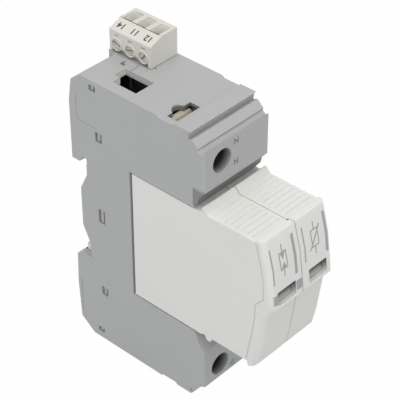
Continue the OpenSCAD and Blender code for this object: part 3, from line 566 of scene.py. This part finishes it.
class Facing(Enum):
    """The way a printed side looks."""

    FRONT = "front"
    LEFT = "left"
    TOP = "top"

    def turn(self) -> Matrix:
        """Gives the rotation that turns a flat sheet to this side.

        Returns:
            The matrix from the XY plane to the side.
        """
        rows = {
            Facing.FRONT: ((1, 0, 0, 0), (0, 0, -1, 0), (0, 1, 0, 0), (0, 0, 0, 1)),
            Facing.LEFT: ((0, 0, -1, 0), (-1, 0, 0, 0), (0, 1, 0, 0), (0, 0, 0, 1)),
            Facing.TOP: ((1, 0, 0, 0), (0, 1, 0, 0), (0, 0, 1, 0), (0, 0, 0, 1)),
        }
        return Matrix(rows[self])

    def place(self, u: float, v: float, depth: float) -> Point:
        """Turns a point of the side's own (across, up) plane into the frame.

        Args:
            u: Position across: X on the front and the top, Y on the left.
            v: Position up: Z on the front and the left, Y on the top.
            depth: Position along the side's normal axis.

        Returns:
            The point, in metres.
        """
        if self is Facing.FRONT:
            return u, depth, v
        if self is Facing.LEFT:
            return depth, u, v
        return u, v, depth

    def before(self, target: bpy.types.Object) -> float:
        """Finds a place clear of a moulding on this side.

        Args:
            target: The moulding.

        Returns:
            The position along the side's normal axis.
        """
        if self is Facing.TOP:
            return max(vertex.co.z for vertex in target.data.vertices) + PRINT_START
        axis = 0 if self is Facing.LEFT else 1
        return min(vertex.co[axis] for vertex in target.data.vertices) - PRINT_START


@dataclass(frozen=True)
class Sheet:
    """A thin print or line: its name, side, box across and up, finish and the size of its cells."""

    name: str
    facing: Facing
    box: Box
    finish: Finish
    cell: float = 0.1 * MM


class Bench:
    """The modelling steps that the sub-assemblies share."""

    MERGE_GAP = 2 * UM
    FLAT_ANGLE = math.radians(0.6)
    SMOOTH_ANGLE = math.radians(30)
    SHARP_ANGLE = math.radians(32)
    ROUND_STEPS = 2
    ROUND_ROOM = 0.45
    FACE_WEIGHT = 100
    PRINT_LIFT = 0.012 * MM
    PRINT_THICKNESS = 0.04 * MM
    LETTER_THICKNESS = 0.02 * MM
    LETTER_STEPS = 3
    FIGURE_SHARE = 0.7

    @staticmethod
    def clear() -> None:
        """Leaves edit mode and selects nothing."""
        if bpy.context.object is not None and bpy.context.object.mode != "OBJECT":
            bpy.ops.object.mode_set(mode="OBJECT")
        bpy.ops.object.select_all(action="DESELECT")

    @staticmethod
    def pick(obj: bpy.types.Object) -> None:
        """Selects one object alone and makes it active.

        Args:
            obj: The object.
        """
        Bench.clear()
        obj.select_set(True)
        bpy.context.view_layer.objects.active = obj

    @staticmethod
    def settle(obj: bpy.types.Object) -> None:
        """Puts an object's place into its mesh."""
        Bench.pick(obj)
        bpy.ops.object.transform_apply(location=True, rotation=True, scale=True)

    @staticmethod
    def dress(obj: bpy.types.Object, finish: Finish) -> None:
        """Gives an object one finish."""
        obj.data.materials.clear()
        obj.data.materials.append(finish.material())

    @staticmethod
    def copied(node: str, name: str) -> bpy.types.Object:
        """Copies a node as a piece that stands for it.

        Args:
            node: The CAD node.
            name: Name of the new piece.

        Returns:
            The new piece, with a mesh of its own and no parent.
        """
        source = frame["nodes"][node]
        piece = source.copy()
        piece.data = source.data.copy()
        piece.name = name
        piece.parent = None
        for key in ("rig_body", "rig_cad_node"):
            if key in piece:
                del piece[key]
        bpy.context.scene.collection.objects.link(piece)
        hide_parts(node)
        return piece

    @staticmethod
    def softened(node: str, name: str, width: float, share: Share = lambda a, b: 1.0) -> bpy.types.Object:
        """Copies a node and rounds its sharp edges as a mould does.

        Args:
            node: The CAD node.
            name: Name of the new piece.
            width: Width of the rounding in metres.
            share: Part of the width that an edge gets, by its two ends.

        Returns:
            The new piece, which stands for the node.
        """
        piece = Bench.copied(node, name)
        Bench.pick(piece)
        bpy.ops.mesh.customdata_custom_splitnormals_clear()
        bpy.ops.object.mode_set(mode="EDIT")
        bpy.ops.mesh.select_all(action="SELECT")
        bpy.ops.mesh.remove_doubles(threshold=Bench.MERGE_GAP)
        bpy.ops.mesh.dissolve_limited(angle_limit=Bench.FLAT_ANGLE)
        bpy.ops.object.mode_set(mode="OBJECT")
        Bench.round_edges(piece, width, share)
        bpy.ops.object.shade_smooth_by_angle(angle=Bench.SMOOTH_ANGLE)
        Bench.modify(piece, "WEIGHTED_NORMAL", weight=Bench.FACE_WEIGHT, keep_sharp=True)
        return piece

    @staticmethod
    def modify(piece: bpy.types.Object, kind: str, **settings: object) -> None:
        """Applies a modifier.

        Args:
            piece: The piece, active.
            kind: The modifier's type.
            **settings: Its settings, by name.
        """
        bpy.ops.object.modifier_add(type=kind)
        modifier = piece.modifiers[-1]
        for name, value in settings.items():
            setattr(modifier, name, value)
        bpy.ops.object.modifier_apply(modifier=modifier.name)

    @staticmethod
    def round_edges(piece: bpy.types.Object, width: float, share: Share) -> None:
        """Rounds the sharp edges of a piece, less beside short edges.

        Args:
            piece: The mesh piece, active.
            width: Width of the rounding in metres.
            share: Part of the width that an edge gets, by its two ends.
        """
        mesh = piece.data
        weights = mesh.attributes.new("bevel_weight_edge", "FLOAT", "EDGE")
        faces: Dict[Tuple[int, int], List[Vector]] = {}
        for polygon in mesh.polygons:
            for key in polygon.edge_keys:
                faces.setdefault(key, []).append(polygon.normal)
        shortest = [1.0] * len(mesh.vertices)
        for edge in mesh.edges:
            a, b = (mesh.vertices[i].co for i in edge.vertices)
            for i in edge.vertices:
                shortest[i] = min(shortest[i], (a - b).length)
        for edge in mesh.edges:
            normals = faces.get(tuple(sorted(edge.vertices)), [])
            a, b = (mesh.vertices[i].co for i in edge.vertices)
            sharp = len(normals) == 2 and normals[0].angle(normals[1], 0.0) > Bench.SHARP_ANGLE
            room = Bench.ROUND_ROOM * min(shortest[i] for i in edge.vertices) / width
            weights.data[edge.index].value = min(1.0, room, share(a, b)) if sharp else 0.0
        Bench.modify(
            piece, "BEVEL", limit_method="WEIGHT", width=width, segments=Bench.ROUND_STEPS,
            use_clamp_overlap=False, miter_outer="MITER_ARC",
        )

    @staticmethod
    def stamp(
        sheet: Sheet, target: bpy.types.Object, body: str, slot: str, inside: Inside = lambda u, v: True
    ) -> None:
        """Makes a thin print or line that lies on a moulded side.

        Args:
            sheet: What is laid there.
            target: The moulding that carries it.
            body: The CAD body that it rides on.
            slot: The record's material slot.
            inside: Says which cells are kept, by their middle.
        """
        u0, u1, v0, v1 = sheet.box
        facing = sheet.facing
        Bench.clear()
        bpy.ops.mesh.primitive_grid_add(
            x_subdivisions=max(1, round((u1 - u0) / sheet.cell)),
            y_subdivisions=max(1, round((v1 - v0) / sheet.cell)),
            size=1.0,
        )
        piece = bpy.context.object
        piece.name = sheet.name
        spread = Matrix.Diagonal((u1 - u0, v1 - v0, 1.0, 1.0))
        start = facing.place((u0 + u1) / 2, (v0 + v1) / 2, facing.before(target))
        middle = Matrix.Translation(start)
        piece.matrix_world = middle @ facing.turn() @ spread
        Bench.settle(piece)
        across = 1 if facing is Facing.LEFT else 0
        up = 1 if facing is Facing.TOP else 2
        bpy.ops.object.mode_set(mode="EDIT")
        bpy.ops.mesh.select_mode(type="FACE")
        bpy.ops.mesh.select_all(action="DESELECT")
        bpy.ops.object.mode_set(mode="OBJECT")
        for polygon in piece.data.polygons:
            polygon.select = not inside(polygon.center[across], polygon.center[up])
        bpy.ops.object.mode_set(mode="EDIT")
        bpy.ops.mesh.delete(type="FACE")
        bpy.ops.object.mode_set(mode="OBJECT")
        Bench.lay_on(piece, facing, target)
        Bench.mount(piece, body, slot, sheet.finish)

    @staticmethod
    def lay_on(piece: bpy.types.Object, facing: Facing, target: bpy.types.Object) -> None:
        """Presses a flat sheet on a moulding and gives it its thickness.

        Args:
            piece: The sheet, in front of the moulding.
            facing: The side that it looks to.
            target: The moulding.
        """
        Bench.pick(piece)
        Bench.modify(
            piece, "SHRINKWRAP", target=target, wrap_method="PROJECT",
            use_project_x=facing is Facing.LEFT,
            use_project_y=facing is Facing.FRONT,
            use_project_z=facing is Facing.TOP,
            use_negative_direction=facing is Facing.TOP,
            use_positive_direction=facing is not Facing.TOP,
            wrap_mode="ABOVE_SURFACE", offset=Bench.PRINT_LIFT,
        )
        Bench.modify(piece, "SOLIDIFY", thickness=Bench.PRINT_THICKNESS, offset=-1.0)

    @staticmethod
    def letters(
        name: str, words: str, height: float, middle: Point, right: Point, up: Point, bold: float
    ) -> bpy.types.Object:
        """Prints a generic mark as thin raised letters.

        Args:
            name: Name of the piece.
            words: The mark.
            height: Height of its figures in metres.
            middle: Middle of the mark on the surface.
            right: Reading direction.
            up: Direction of the figures' tops.
            bold: Growth of each stroke's sides in metres.

        Returns:
            The mark as a mesh at the origin.
        """
        Bench.clear()
        bpy.ops.object.text_add()
        piece = bpy.context.object
        piece.name = name
        piece.data.body = words
        piece.data.size = height / Bench.FIGURE_SHARE
        piece.data.align_x = "CENTER"
        piece.data.extrude = Bench.LETTER_THICKNESS
        piece.data.offset = bold
        piece.data.resolution_u = Bench.LETTER_STEPS
        bpy.ops.object.convert(target="MESH")
        piece = bpy.context.object
        x, y = Vector(right).normalized(), Vector(up).normalized()
        z = x.cross(y)
        corner = Vector(middle) - y * height / 2
        piece.matrix_world = Matrix.Translation(corner) @ Matrix((x, y, z)).transposed().to_4x4()
        Bench.settle(piece)
        return piece

    @staticmethod
    def mount(piece: bpy.types.Object, body: str, slot: str, finish: Finish) -> bpy.types.Object:
        """Finishes a piece and fixes it to its body.

        Args:
            piece: The piece.
            body: The CAD body that it rides on.
            slot: The record's material slot; not used.
            finish: Its finish.

        Returns:
            The same piece.
        """
        Bench.dress(piece, finish)
        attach(piece, body)
        LOG.info("%s rides on %s, %d faces", piece.name, body, len(piece.data.polygons))
        return piece


@dataclass
class BaseCase:
    """The grey base: housing, side cover, and the marks and seams on them."""

    edge: float = 0.15 * MM
    cover_x: float = -11.2 * MM
    joint_play: float = 0.02 * MM
    front_y: float = -44.2 * MM
    letter: float = 1.75 * MM
    letter_bold: float = 0.06 * MM
    letter_x: float = -0.4 * MM
    letters_z: Span = mm(38.45, 31.9)
    earth_box: Box = mm(-1.9, 0.9, -40.9, -37.9)
    earth_line: float = 0.16 * MM
    earth_stem: Span = mm(0.1, 1.4)
    earth_bars: Sequence[Span] = (mm(0.1, 1.3), mm(-0.55, 0.85), mm(-1.2, 0.4))
    panel: Box = mm(-9.0, 2.85, 29.9, 44.0)
    panel_round: float = 1.4 * MM
    panel_end: Span = mm(-4.5, 38.9)
    panel_margin: float = 0.4 * MM
    panel_shadow: Span = mm(-0.1, 0.1)
    panel_light: Span = mm(0.1, 0.3)
    back_line: Box = mm(4.5, 4.66, -40.5, -27.9)
    seam: Box = mm(-2.5, 1.2, -8.2, -8.02)
    recess: Box = mm(-1.7, 0.0, -5.0, -3.2)
    recess_leg: Span = mm(-1.0, -3.9)
    recess_bar: Span = mm(-4.05, -3.35)
    foot: Box = mm(2.7, 3.3, -12.4, -12.0)
    pieces: Dict[str, bpy.types.Object] = field(default_factory=dict)

    def build(self) -> None:
        """Makes the mouldings and everything marked on them."""
        for node in ("main_housing", "side_cover"):
            piece = Bench.softened(node, node + "_moulding", self.edge, self.share)
            self.pieces[node] = Bench.mount(piece, "base", "base_grey", FINISHES["base_grey"])
        self.mark_front()
        self.line_side()
        self.line_top()

    def share(self, a: Vector, b: Vector) -> float:
        """Keeps the edges at the joint of housing and cover sharp, so that it closes."""
        on_joint = max(abs(a.x - self.cover_x), abs(b.x - self.cover_x)) < self.joint_play
        return 0.0 if on_joint else 1.0

    def stamp(self, sheet: Sheet, node: str, inside: Inside = lambda u, v: True) -> None:
        """Lays a line or sign on one of the mouldings."""
        Bench.stamp(sheet, self.pieces[node], "base", "base_grey", inside)

    def mark_front(self) -> None:
        """Prints the neutral letters and the earth sign beside the screw holes."""
        for i, z in enumerate(self.letters_z):
            middle = (self.letter_x, self.front_y, z)
            mark = Bench.letters(
                f"neutral_letter_{i + 1}", "N", self.letter, middle, (1, 0, 0), (0, 0, 1), self.letter_bold
            )
            Bench.mount(mark, "base", "base_grey", DARK_INK)
        sign = Sheet("earth_sign", Facing.FRONT, self.earth_box, EARTH_INK)
        self.stamp(sign, "main_housing", self.in_earth_sign)

    def in_earth_sign(self, u: float, v: float) -> bool:
        """Says whether a point of the front lies in the earth sign.

        Args:
            u: The point's X.
            v: The point's Z.

        Returns:
            Whether the sign's stem or one of its bars covers it.
        """
        x0, x1, z0, z1 = self.earth_box
        x, z = u - (x0 + x1) / 2, v - (z0 + z1) / 2
        stem = abs(x) < self.earth_line and self.earth_stem[0] < z < self.earth_stem[1]
        bars = (abs(z - level) < self.earth_line and abs(x) < half for level, half in self.earth_bars)
        return stem or any(bars)

    def from_panel(self, u: float, v: float) -> float:
        """Measures how far a point of the side lies outside the rounded panel.

        Args:
            u: The point's Y.
            v: The point's Z.

        Returns:
            Its distance from the outline, outwards.
        """
        y0, y1, z0, z1 = self.panel
        a = abs(u - (y0 + y1) / 2) - (y1 - y0) / 2 + self.panel_round
        b = abs(v - (z0 + z1) / 2) - (z1 - z0) / 2 + self.panel_round
        return math.hypot(max(a, 0.0), max(b, 0.0)) + min(max(a, b), 0.0) - self.panel_round

    def line_side(self) -> None:
        """Draws the step of the side cover's panel, as a shadow and a lit edge, and the line at the back."""
        y0, z1 = self.panel_end
        box = (y0, self.panel[1] + self.panel_margin, self.panel[2] - self.panel_margin, z1)
        for name, (low, high), finish in (
            ("side_panel_line", self.panel_shadow, GROOVE_GREY),
            ("side_panel_edge", self.panel_light, EDGE_LIGHT),
        ):
            line = Sheet(name, Facing.LEFT, box, finish)
            self.stamp(line, "side_cover", lambda u, v: low < self.from_panel(u, v) < high)
        width = self.back_line[1] - self.back_line[0]
        step = Sheet("side_back_line", Facing.LEFT, self.back_line, GROOVE_GREY, width)
        self.stamp(step, "side_cover")

    def line_top(self) -> None:
        """Draws the moulding seam behind the top window, the small dark recess and the connector's foot."""
        half = (self.seam[3] - self.seam[2]) / 2
        seam = Sheet("top_seam_line", Facing.TOP, self.seam, SEAM_DARK, half)
        self.stamp(seam, "main_housing")
        recess = Sheet("top_recess_mark", Facing.TOP, self.recess, SEAM_DARK)
        self.stamp(recess, "main_housing", self.in_recess)
        foot = Sheet("connector_foot_mark", Facing.TOP, self.foot, BLACK_INK)
        self.stamp(foot, "main_housing")

    def in_recess(self, u: float, v: float) -> bool:
        """Says whether a point of the top lies in the recess, which has a leg and a bar."""
        leg = u < self.recess_leg[0] and v < self.recess_leg[1]
        return leg or self.recess_bar[0] < v < self.recess_bar[1]


class Element(Enum):
    """The protective element in a plug."""

    SPARK_GAP = "gap"
    VARISTOR = "mov"


@dataclass(frozen=True)
class CircuitSign:
    """The drawn circuit sign of an element: a box with leads, and a slash or two facing tips in it."""

    middle: Span = mm(-0.3, 14.5)
    line: float = 0.22 * MM
    half: Span = mm(1.5, 2.6)
    lead_end: float = 4.8 * MM
    slash_slope: float = 0.72
    slash_line: float = 0.3 * MM
    slash_end: float = 3.1 * MM
    tip: Span = mm(0.35, 2.3)
    tip_point: float = 0.3 * MM
    tip_taper: float = 0.5

    def covers(self, element: Element, u: float, v: float) -> bool:
        """Says whether the sign covers a point of a plug's front.

        Args:
            element: The plug's element.
            u: The point's place across, from the plug's middle.
            v: The point's Z.

        Returns:
            Whether a stroke lies there.
        """
        x, z = u - self.middle[0], v - self.middle[1]
        lead = abs(x) < self.line and self.half[1] < abs(z) < self.lead_end
        outside = max(abs(x) - self.half[0], abs(z) - self.half[1])
        stroke = lead or -2 * self.line < outside < 0
        if element is Element.VARISTOR:
            slash = abs(x - z * self.slash_slope) < self.slash_line and abs(z) < self.slash_end
            return stroke or slash
        tips = abs(x) < (abs(z) - self.tip_point) * self.tip_taper
        return stroke or (tips and self.tip[0] < abs(z) < self.tip[1])


@dataclass
class Plug:
    """One pull-out plug with its front cap, window and plain print; its seam is given as (Z, Y) points."""

    element: Element
    middle_x: float
    edge: float = 0.25 * MM
    seam: Sequence[Span] = (
        mm(-22.2, -60.4), mm(-20.8, -60.0), mm(-19.7, -59.8), mm(-11.2, -61.3), mm(-3.7, -62.4),
        mm(0.8, -62.4), mm(4.0, -65.2), mm(10.3, -64.8), mm(15.2, -63.8), mm(21.5, -62.0), mm(22.4, -62.0),
    )
    seam_slack: Span = mm(0.2, 0.3)
    seam_share: float = 0.3
    seam_shadow: Span = mm(0.1, 0.3)
    seam_box: Box = mm(-65.4, -59.0, -19.7, 21.2)
    corner_box: Box = mm(-0.95, -0.35, -62.55, -62.08)
    groove: Point = mm(5.3, -61.8, 21.1)
    joint: Point = mm(0.4, -66.0, 18.0)
    joint_share: float = 0.1
    stripe: Box = mm(3.7, 4.7, 8.0, 20.0)
    rule: Box = mm(-4.9, -4.4, 9.0, 19.6)
    left_field: Box = mm(-5.35, -3.7, 2.7, 5.7)
    right_field: Box = mm(3.6, 6.1, 2.7, 5.7)
    field_cell: float = 0.2 * MM
    sign_box: Box = mm(-3.2, 2.6, 9.5, 19.5)
    sign: CircuitSign = CircuitSign()

    @property
    def body(self) -> str:
        """Names the CAD body of the plug."""
        return self.element.value + "_plug"

    def build(self) -> None:
        """Makes the housing, the cap, the seam's shadow and the print on the cap."""
        housing = Bench.softened(self.body + "_housing", self.body + "_shell", self.edge, self.share)
        Bench.mount(housing, self.body, "plug_white", FINISHES["plug_white"])
        cap = Bench.softened(self.body + "_cap", self.body + "_front", self.edge, self.share)
        Bench.mount(cap, self.body, "plug_white", CAP_WHITE)
        if self.element is Element.SPARK_GAP:
            self.line_seam(housing, cap)
        self.print_front(cap)

    def share(self, a: Vector, b: Vector) -> float:
        """Keeps the grip grooves and the joint of the plugs sharp, and the seam of housing and cap fine.

        Args:
            a: One end of an edge.
            b: Its other end.

        Returns:
            The part of the rounding's width that the edge gets.
        """
        ends = (a, b)
        half, y, z = self.groove
        if all(p.z > z and abs(p.x - self.middle_x) < half and p.y > y for p in ends):
            return 0.0
        half, y, z = self.joint
        if all(p.z > z and abs(p.x) < half and p.y > y for p in ends):
            return self.joint_share
        z_slack, y_slack = self.seam_slack
        on_seam = all(any(abs(d) < y_slack for d in self.from_seam(p.y, p.z, z_slack)) for p in ends)
        return self.seam_share if on_seam else 1.0

    def from_seam(self, y: float, z: float, slack: float) -> List[float]:
        """Measures how far a point of the side lies behind the seam of the housing and its cap.

        Args:
            y: The point's Y.
            z: The point's Z.
            slack: How far past its ends a stretch of the seam still counts.

        Returns:
            The distance along Y from each stretch of the seam at that height.
        """
        return [
            y - y0 - (y1 - y0) * (z - z0) / (z1 - z0)
            for (z0, y0), (z1, y1) in zip(self.seam, self.seam[1:])
            if z0 - slack <= z <= z1 + slack
        ]

    def behind_seam(self, u: float, v: float) -> bool:
        """Says whether a point of the side lies in the seam's shadow."""
        low, high = self.seam_shadow
        return any(low < d < high for d in self.from_seam(u, v, 0.0))

    def line_seam(self, housing: bpy.types.Object, cap: bpy.types.Object) -> None:
        """Draws the seam's shadow on the open side, and the dark corner on top where the plugs' seams meet.

        Args:
            housing: The housing's moulding.
            cap: The cap's moulding.
        """
        seam = Sheet(self.body + "_seam_line", Facing.LEFT, self.seam_box, SEAM_GREY)
        Bench.stamp(seam, housing, self.body, "plug_white", self.behind_seam)
        corner = Sheet(self.body + "_seam_corner", Facing.TOP, self.corner_box, SEAM_DARK)
        Bench.stamp(corner, cap, self.body, "plug_white")

    def print_front(self, cap: bpy.types.Object) -> None:
        """Lays the plain print on the cap.

        Args:
            cap: The cap's moulding.
        """
        fields = {"stripe": self.stripe, "rule": self.rule}
        if self.element is Element.SPARK_GAP:
            fields["left_field"] = self.left_field
            fields["right_field"] = self.right_field
        for name, box in fields.items():
            self.print_box(cap, name, box, self.field_cell)
        self.print_box(cap, "element_sign", self.sign_box, Sheet.cell, self.in_sign)

    def print_box(
        self, cap: bpy.types.Object, name: str, box: Box, cell: float, inside: Inside = lambda u, v: True
    ) -> None:
        """Prints one field on the cap.

        Args:
            cap: The cap's moulding.
            name: Name of the field.
            box: Its box, across from the plug's middle and up.
            cell: Size of its cells.
            inside: Says which cells are kept, by their middle.
        """
        u0, u1, v0, v1 = box
        place = (self.middle_x + u0, self.middle_x + u1, v0, v1)
        sheet = Sheet(f"{self.body}_{name}", Facing.FRONT, place, GREY_INK, cell)
        Bench.stamp(sheet, cap, self.body, "plug_white", inside)

    def in_sign(self, u: float, v: float) -> bool:
        """Says whether a point of the front lies in the circuit sign."""
        return self.sign.covers(self.element, u - self.middle_x, v)


@dataclass
class SignalConnector:
    """The three-pole plug-in connector for remote signalling."""

    edge: float = 0.15 * MM
    poles: Sequence[float] = POLES
    figures: Sequence[str] = ("12", "11", "14")
    slope_middle: Span = mm(3.75, 52.66)
    slope_up: Point = (-0.9363, 0.0, -0.3511)
    height: float = 1.9 * MM
    bold: float = 0.07 * MM
    dash_half: float = 0.7 * MM
    dash_z: Span = mm(50.55, 50.8)
    dash_cell: float = 0.12 * MM
    screw_edge: float = 0.08 * MM

    def build(self) -> None:
        """Makes the body, its marks and its screws."""
        body = Bench.softened("connector_body", "connector_moulding", self.edge)
        Bench.mount(body, "remote_connector", "connector_cream", FINISHES["connector_cream"])
        for y, figure in zip(self.poles, self.figures):
            self.mark_pole(body, y, figure)
        for i in range(len(self.poles)):
            name = f"connector_screw_{i + 1}"
            screw = Bench.softened(name, name + "_turned", self.screw_edge)
            Bench.mount(screw, name, "steel", SMALL_METAL)

    def mark_pole(self, body: bpy.types.Object, y: float, figure: str) -> None:
        """Prints a contact's number on the slope, and the dash before its screw.

        Args:
            body: The connector's moulding.
            y: Place of the contact.
            figure: Its number.
        """
        x, z = self.slope_middle
        mark = Bench.letters(
            "contact_number_" + figure, figure, self.height, (x, y, z), (0, 1, 0), self.slope_up, self.bold
        )
        Bench.mount(mark, "remote_connector", "connector_cream", BLACK_INK)
        box = (y - self.dash_half, y + self.dash_half, *self.dash_z)
        dash = Sheet("contact_dash_" + figure, Facing.LEFT, box, SEAM_DARK, self.dash_cell)
        Bench.stamp(dash, body, "remote_connector", "connector_cream")


@dataclass
class Terminals:
    """The screw terminals: frames, clamp plates and screws."""

    edge: float = 0.12 * MM
    keys: Sequence[str] = ("n", "pe", "l")

    def build(self) -> None:
        """Rounds the edges of the frames, plates and screws."""
        for key in self.keys:
            shell = Bench.softened(key + "_clamp_frame", key + "_clamp_shell", self.edge)
            Bench.mount(shell, "base", "steel", FINISHES["steel"])
            plate = Bench.softened(key + "_clamp_plate", key + "_clamp_tongue", self.edge)
            Bench.mount(plate, key + "_plate", "tin", CLAMP_METAL)
            screw = Bench.softened(key + "_screw", key + "_screw_turned", self.edge)
            Bench.mount(screw, key + "_screw", "steel", FINISHES["steel"])


@dataclass
class RailFoot:
    """The rail latch at the back of the base."""

    edge: float = 0.25 * MM

    def build(self) -> None:
        """Makes the latch moulding."""
        latch = Bench.softened("rail_latch", "rail_latch_moulding", self.edge)
        Bench.mount(latch, "rail_latch", "plug_white", FINISHES["plug_white"])


@dataclass
class Springs:
    """The coil springs, which shorten and lengthen between two bodies."""

    def build(self) -> None:
        """Makes each coil that the record lets give way at a joint."""
        for joint in frame["record"]["behaviour"]["joints"]:
            for row in joint.get("deforming_nodes", ()):
                self.coil(row["node"], row["fixed_end_z_m"], joint["parent"], joint["child"])

    @staticmethod
    def coil(node: str, held_z: float, holder: str, mover: str) -> None:
        """Copies one coil, gives it the steel finish, puts its place into its mesh and logs the two bodies it
        lies between.

        Args:
            node: The CAD node.
            held_z: Height of the end that stays; not used.
            holder: The body that holds this end.
            mover: The body that moves the other end.
        """
        piece = Bench.copied(node, node + "_coil")
        Bench.dress(piece, FINISHES["steel"])
        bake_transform(piece)
        LOG.info("%s gives way between %s and %s", piece.name, holder, mover)


@dataclass
class InnerWorks:
    """Every node that keeps its CAD shape and only takes a finish."""

    def build(self) -> None:
        """Dresses each node that nothing stands for."""
        for row in frame["record"]["subparts"]:
            node = frame["nodes"][row["node"]]
            Bench.dress(node, FINISHES[row["material_slot"]])
            if not node.hide_render:
                LOG.info("%s dressed as %s", row["node"], row["material_slot"])


@dataclass(frozen=True)
class Lamp:
    """A square soft box that looks at the object: place and side in metres, power in watts, tint."""

    name: str
    place: Point
    size: float
    power: float
    tint: Point = (1.0, 1.0, 1.0)

    def hang(self) -> None:
        """Hangs the lamp."""
        lamp = bpy.data.lights.new(self.name, "AREA")
        lamp.shape = "SQUARE"
        lamp.size = self.size
        lamp.energy = self.power
        lamp.color = self.tint
        holder = bpy.data.objects.new(self.name, lamp)
        holder.location = self.place
        holder.rotation_euler = (-Vector(self.place)).to_track_quat("-Z", "Y").to_euler()
        bpy.context.scene.collection.objects.link(holder)


@dataclass
class Studio:
    """Floor, light and camera."""

    floor_z: float = -48.8 * MM
    floor_size: float = 6.0
    floor_tone: float = 0.57
    floor_roughness: float = 0.9
    floor_glow: float = 0.99
    ambient: float = 0.55
    lamps: Sequence[Lamp] = (
        Lamp("top_softbox", (-0.12, -0.16, 0.75), 0.7, 3.3, (1.0, 0.975, 0.935)),
        Lamp("side_softbox", (-0.8, -0.1, 0.25), 0.8, 2.3, (0.965, 0.985, 1.0)),
        Lamp("front_softbox", (0.2, -0.8, 0.3), 0.8, 1.2),
    )
    eye: Point = (-0.24707, -0.25652, 0.26629)
    look: Point = (0.58826, 0.53665, -0.60494)
    lens: float = 138.34
    sensor: float = 36.0
    clip: Span = (0.01, 20.0)

    def build(self) -> None:
        """Sets up the whole studio."""
        self.lay_floor()
        self.light_world()
        for lamp in self.lamps:
            lamp.hang()
        self.set_camera()
        bpy.context.scene.view_settings.view_transform = "Standard"

    def lay_floor(self) -> None:
        """Lays the pale floor under the object."""
        Bench.clear()
        bpy.ops.mesh.primitive_plane_add(size=self.floor_size, location=(0, 0, self.floor_z))
        floor = bpy.context.object
        floor.name = "studio_floor"
        made = bpy.data.materials.new("studio_white")
        made.use_nodes = True
        kit = NodeKit(made.node_tree)
        shader = kit.tree.nodes["Principled BSDF"]
        shader.inputs["Base Color"].default_value = (self.floor_tone, self.floor_tone, self.floor_tone, 1.0)
        shader.inputs["Roughness"].default_value = self.floor_roughness
        glow = kit.add("ShaderNodeEmission")
        share = kit.scaled(kit.seen(), self.floor_glow)
        kit.show(share, shader.outputs["BSDF"], glow.outputs["Emission"], "Material Output")
        floor.data.materials.append(made)

    def light_world(self) -> None:
        """Makes the even studio light around the object."""
        world = bpy.data.worlds.new("studio_world")
        bpy.context.scene.world = world
        world.use_nodes = True
        kit = NodeKit(world.node_tree)
        dim = kit.tree.nodes["Background"]
        dim.inputs["Strength"].default_value = self.ambient
        white = kit.add("ShaderNodeBackground")
        for node in (dim, white):
            node.inputs["Color"].default_value = (1.0, 1.0, 1.0, 1.0)
        kit.show(kit.seen(), dim.outputs["Background"], white.outputs["Background"], "World Output")

    def set_camera(self) -> None:
        """Sets the camera at the picture's viewing angle."""
        camera = bpy.data.cameras.new("picture_camera")
        camera.lens = self.lens
        camera.sensor_width = self.sensor
        camera.clip_start, camera.clip_end = self.clip
        holder = bpy.data.objects.new("picture_camera", camera)
        holder.location = self.eye
        holder.rotation_euler = Vector(self.look).to_track_quat("-Z", "Y").to_euler()
        bpy.context.scene.collection.objects.link(holder)
        bpy.context.scene.camera = holder


def main() -> None:
    """Builds the sub-assemblies in order."""
    logging.basicConfig(level=logging.INFO, format="%(name)s: %(message)s")
    Studio().build()
    BaseCase().build()
    Plug(Element.SPARK_GAP, -CHANNEL_WIDTH / 2).build()
    Plug(Element.VARISTOR, CHANNEL_WIDTH / 2).build()
    SignalConnector().build()
    Terminals().build()
    RailFoot().build()
    Springs().build()
    InnerWorks().build()


if __name__ == "__main__":
    main()
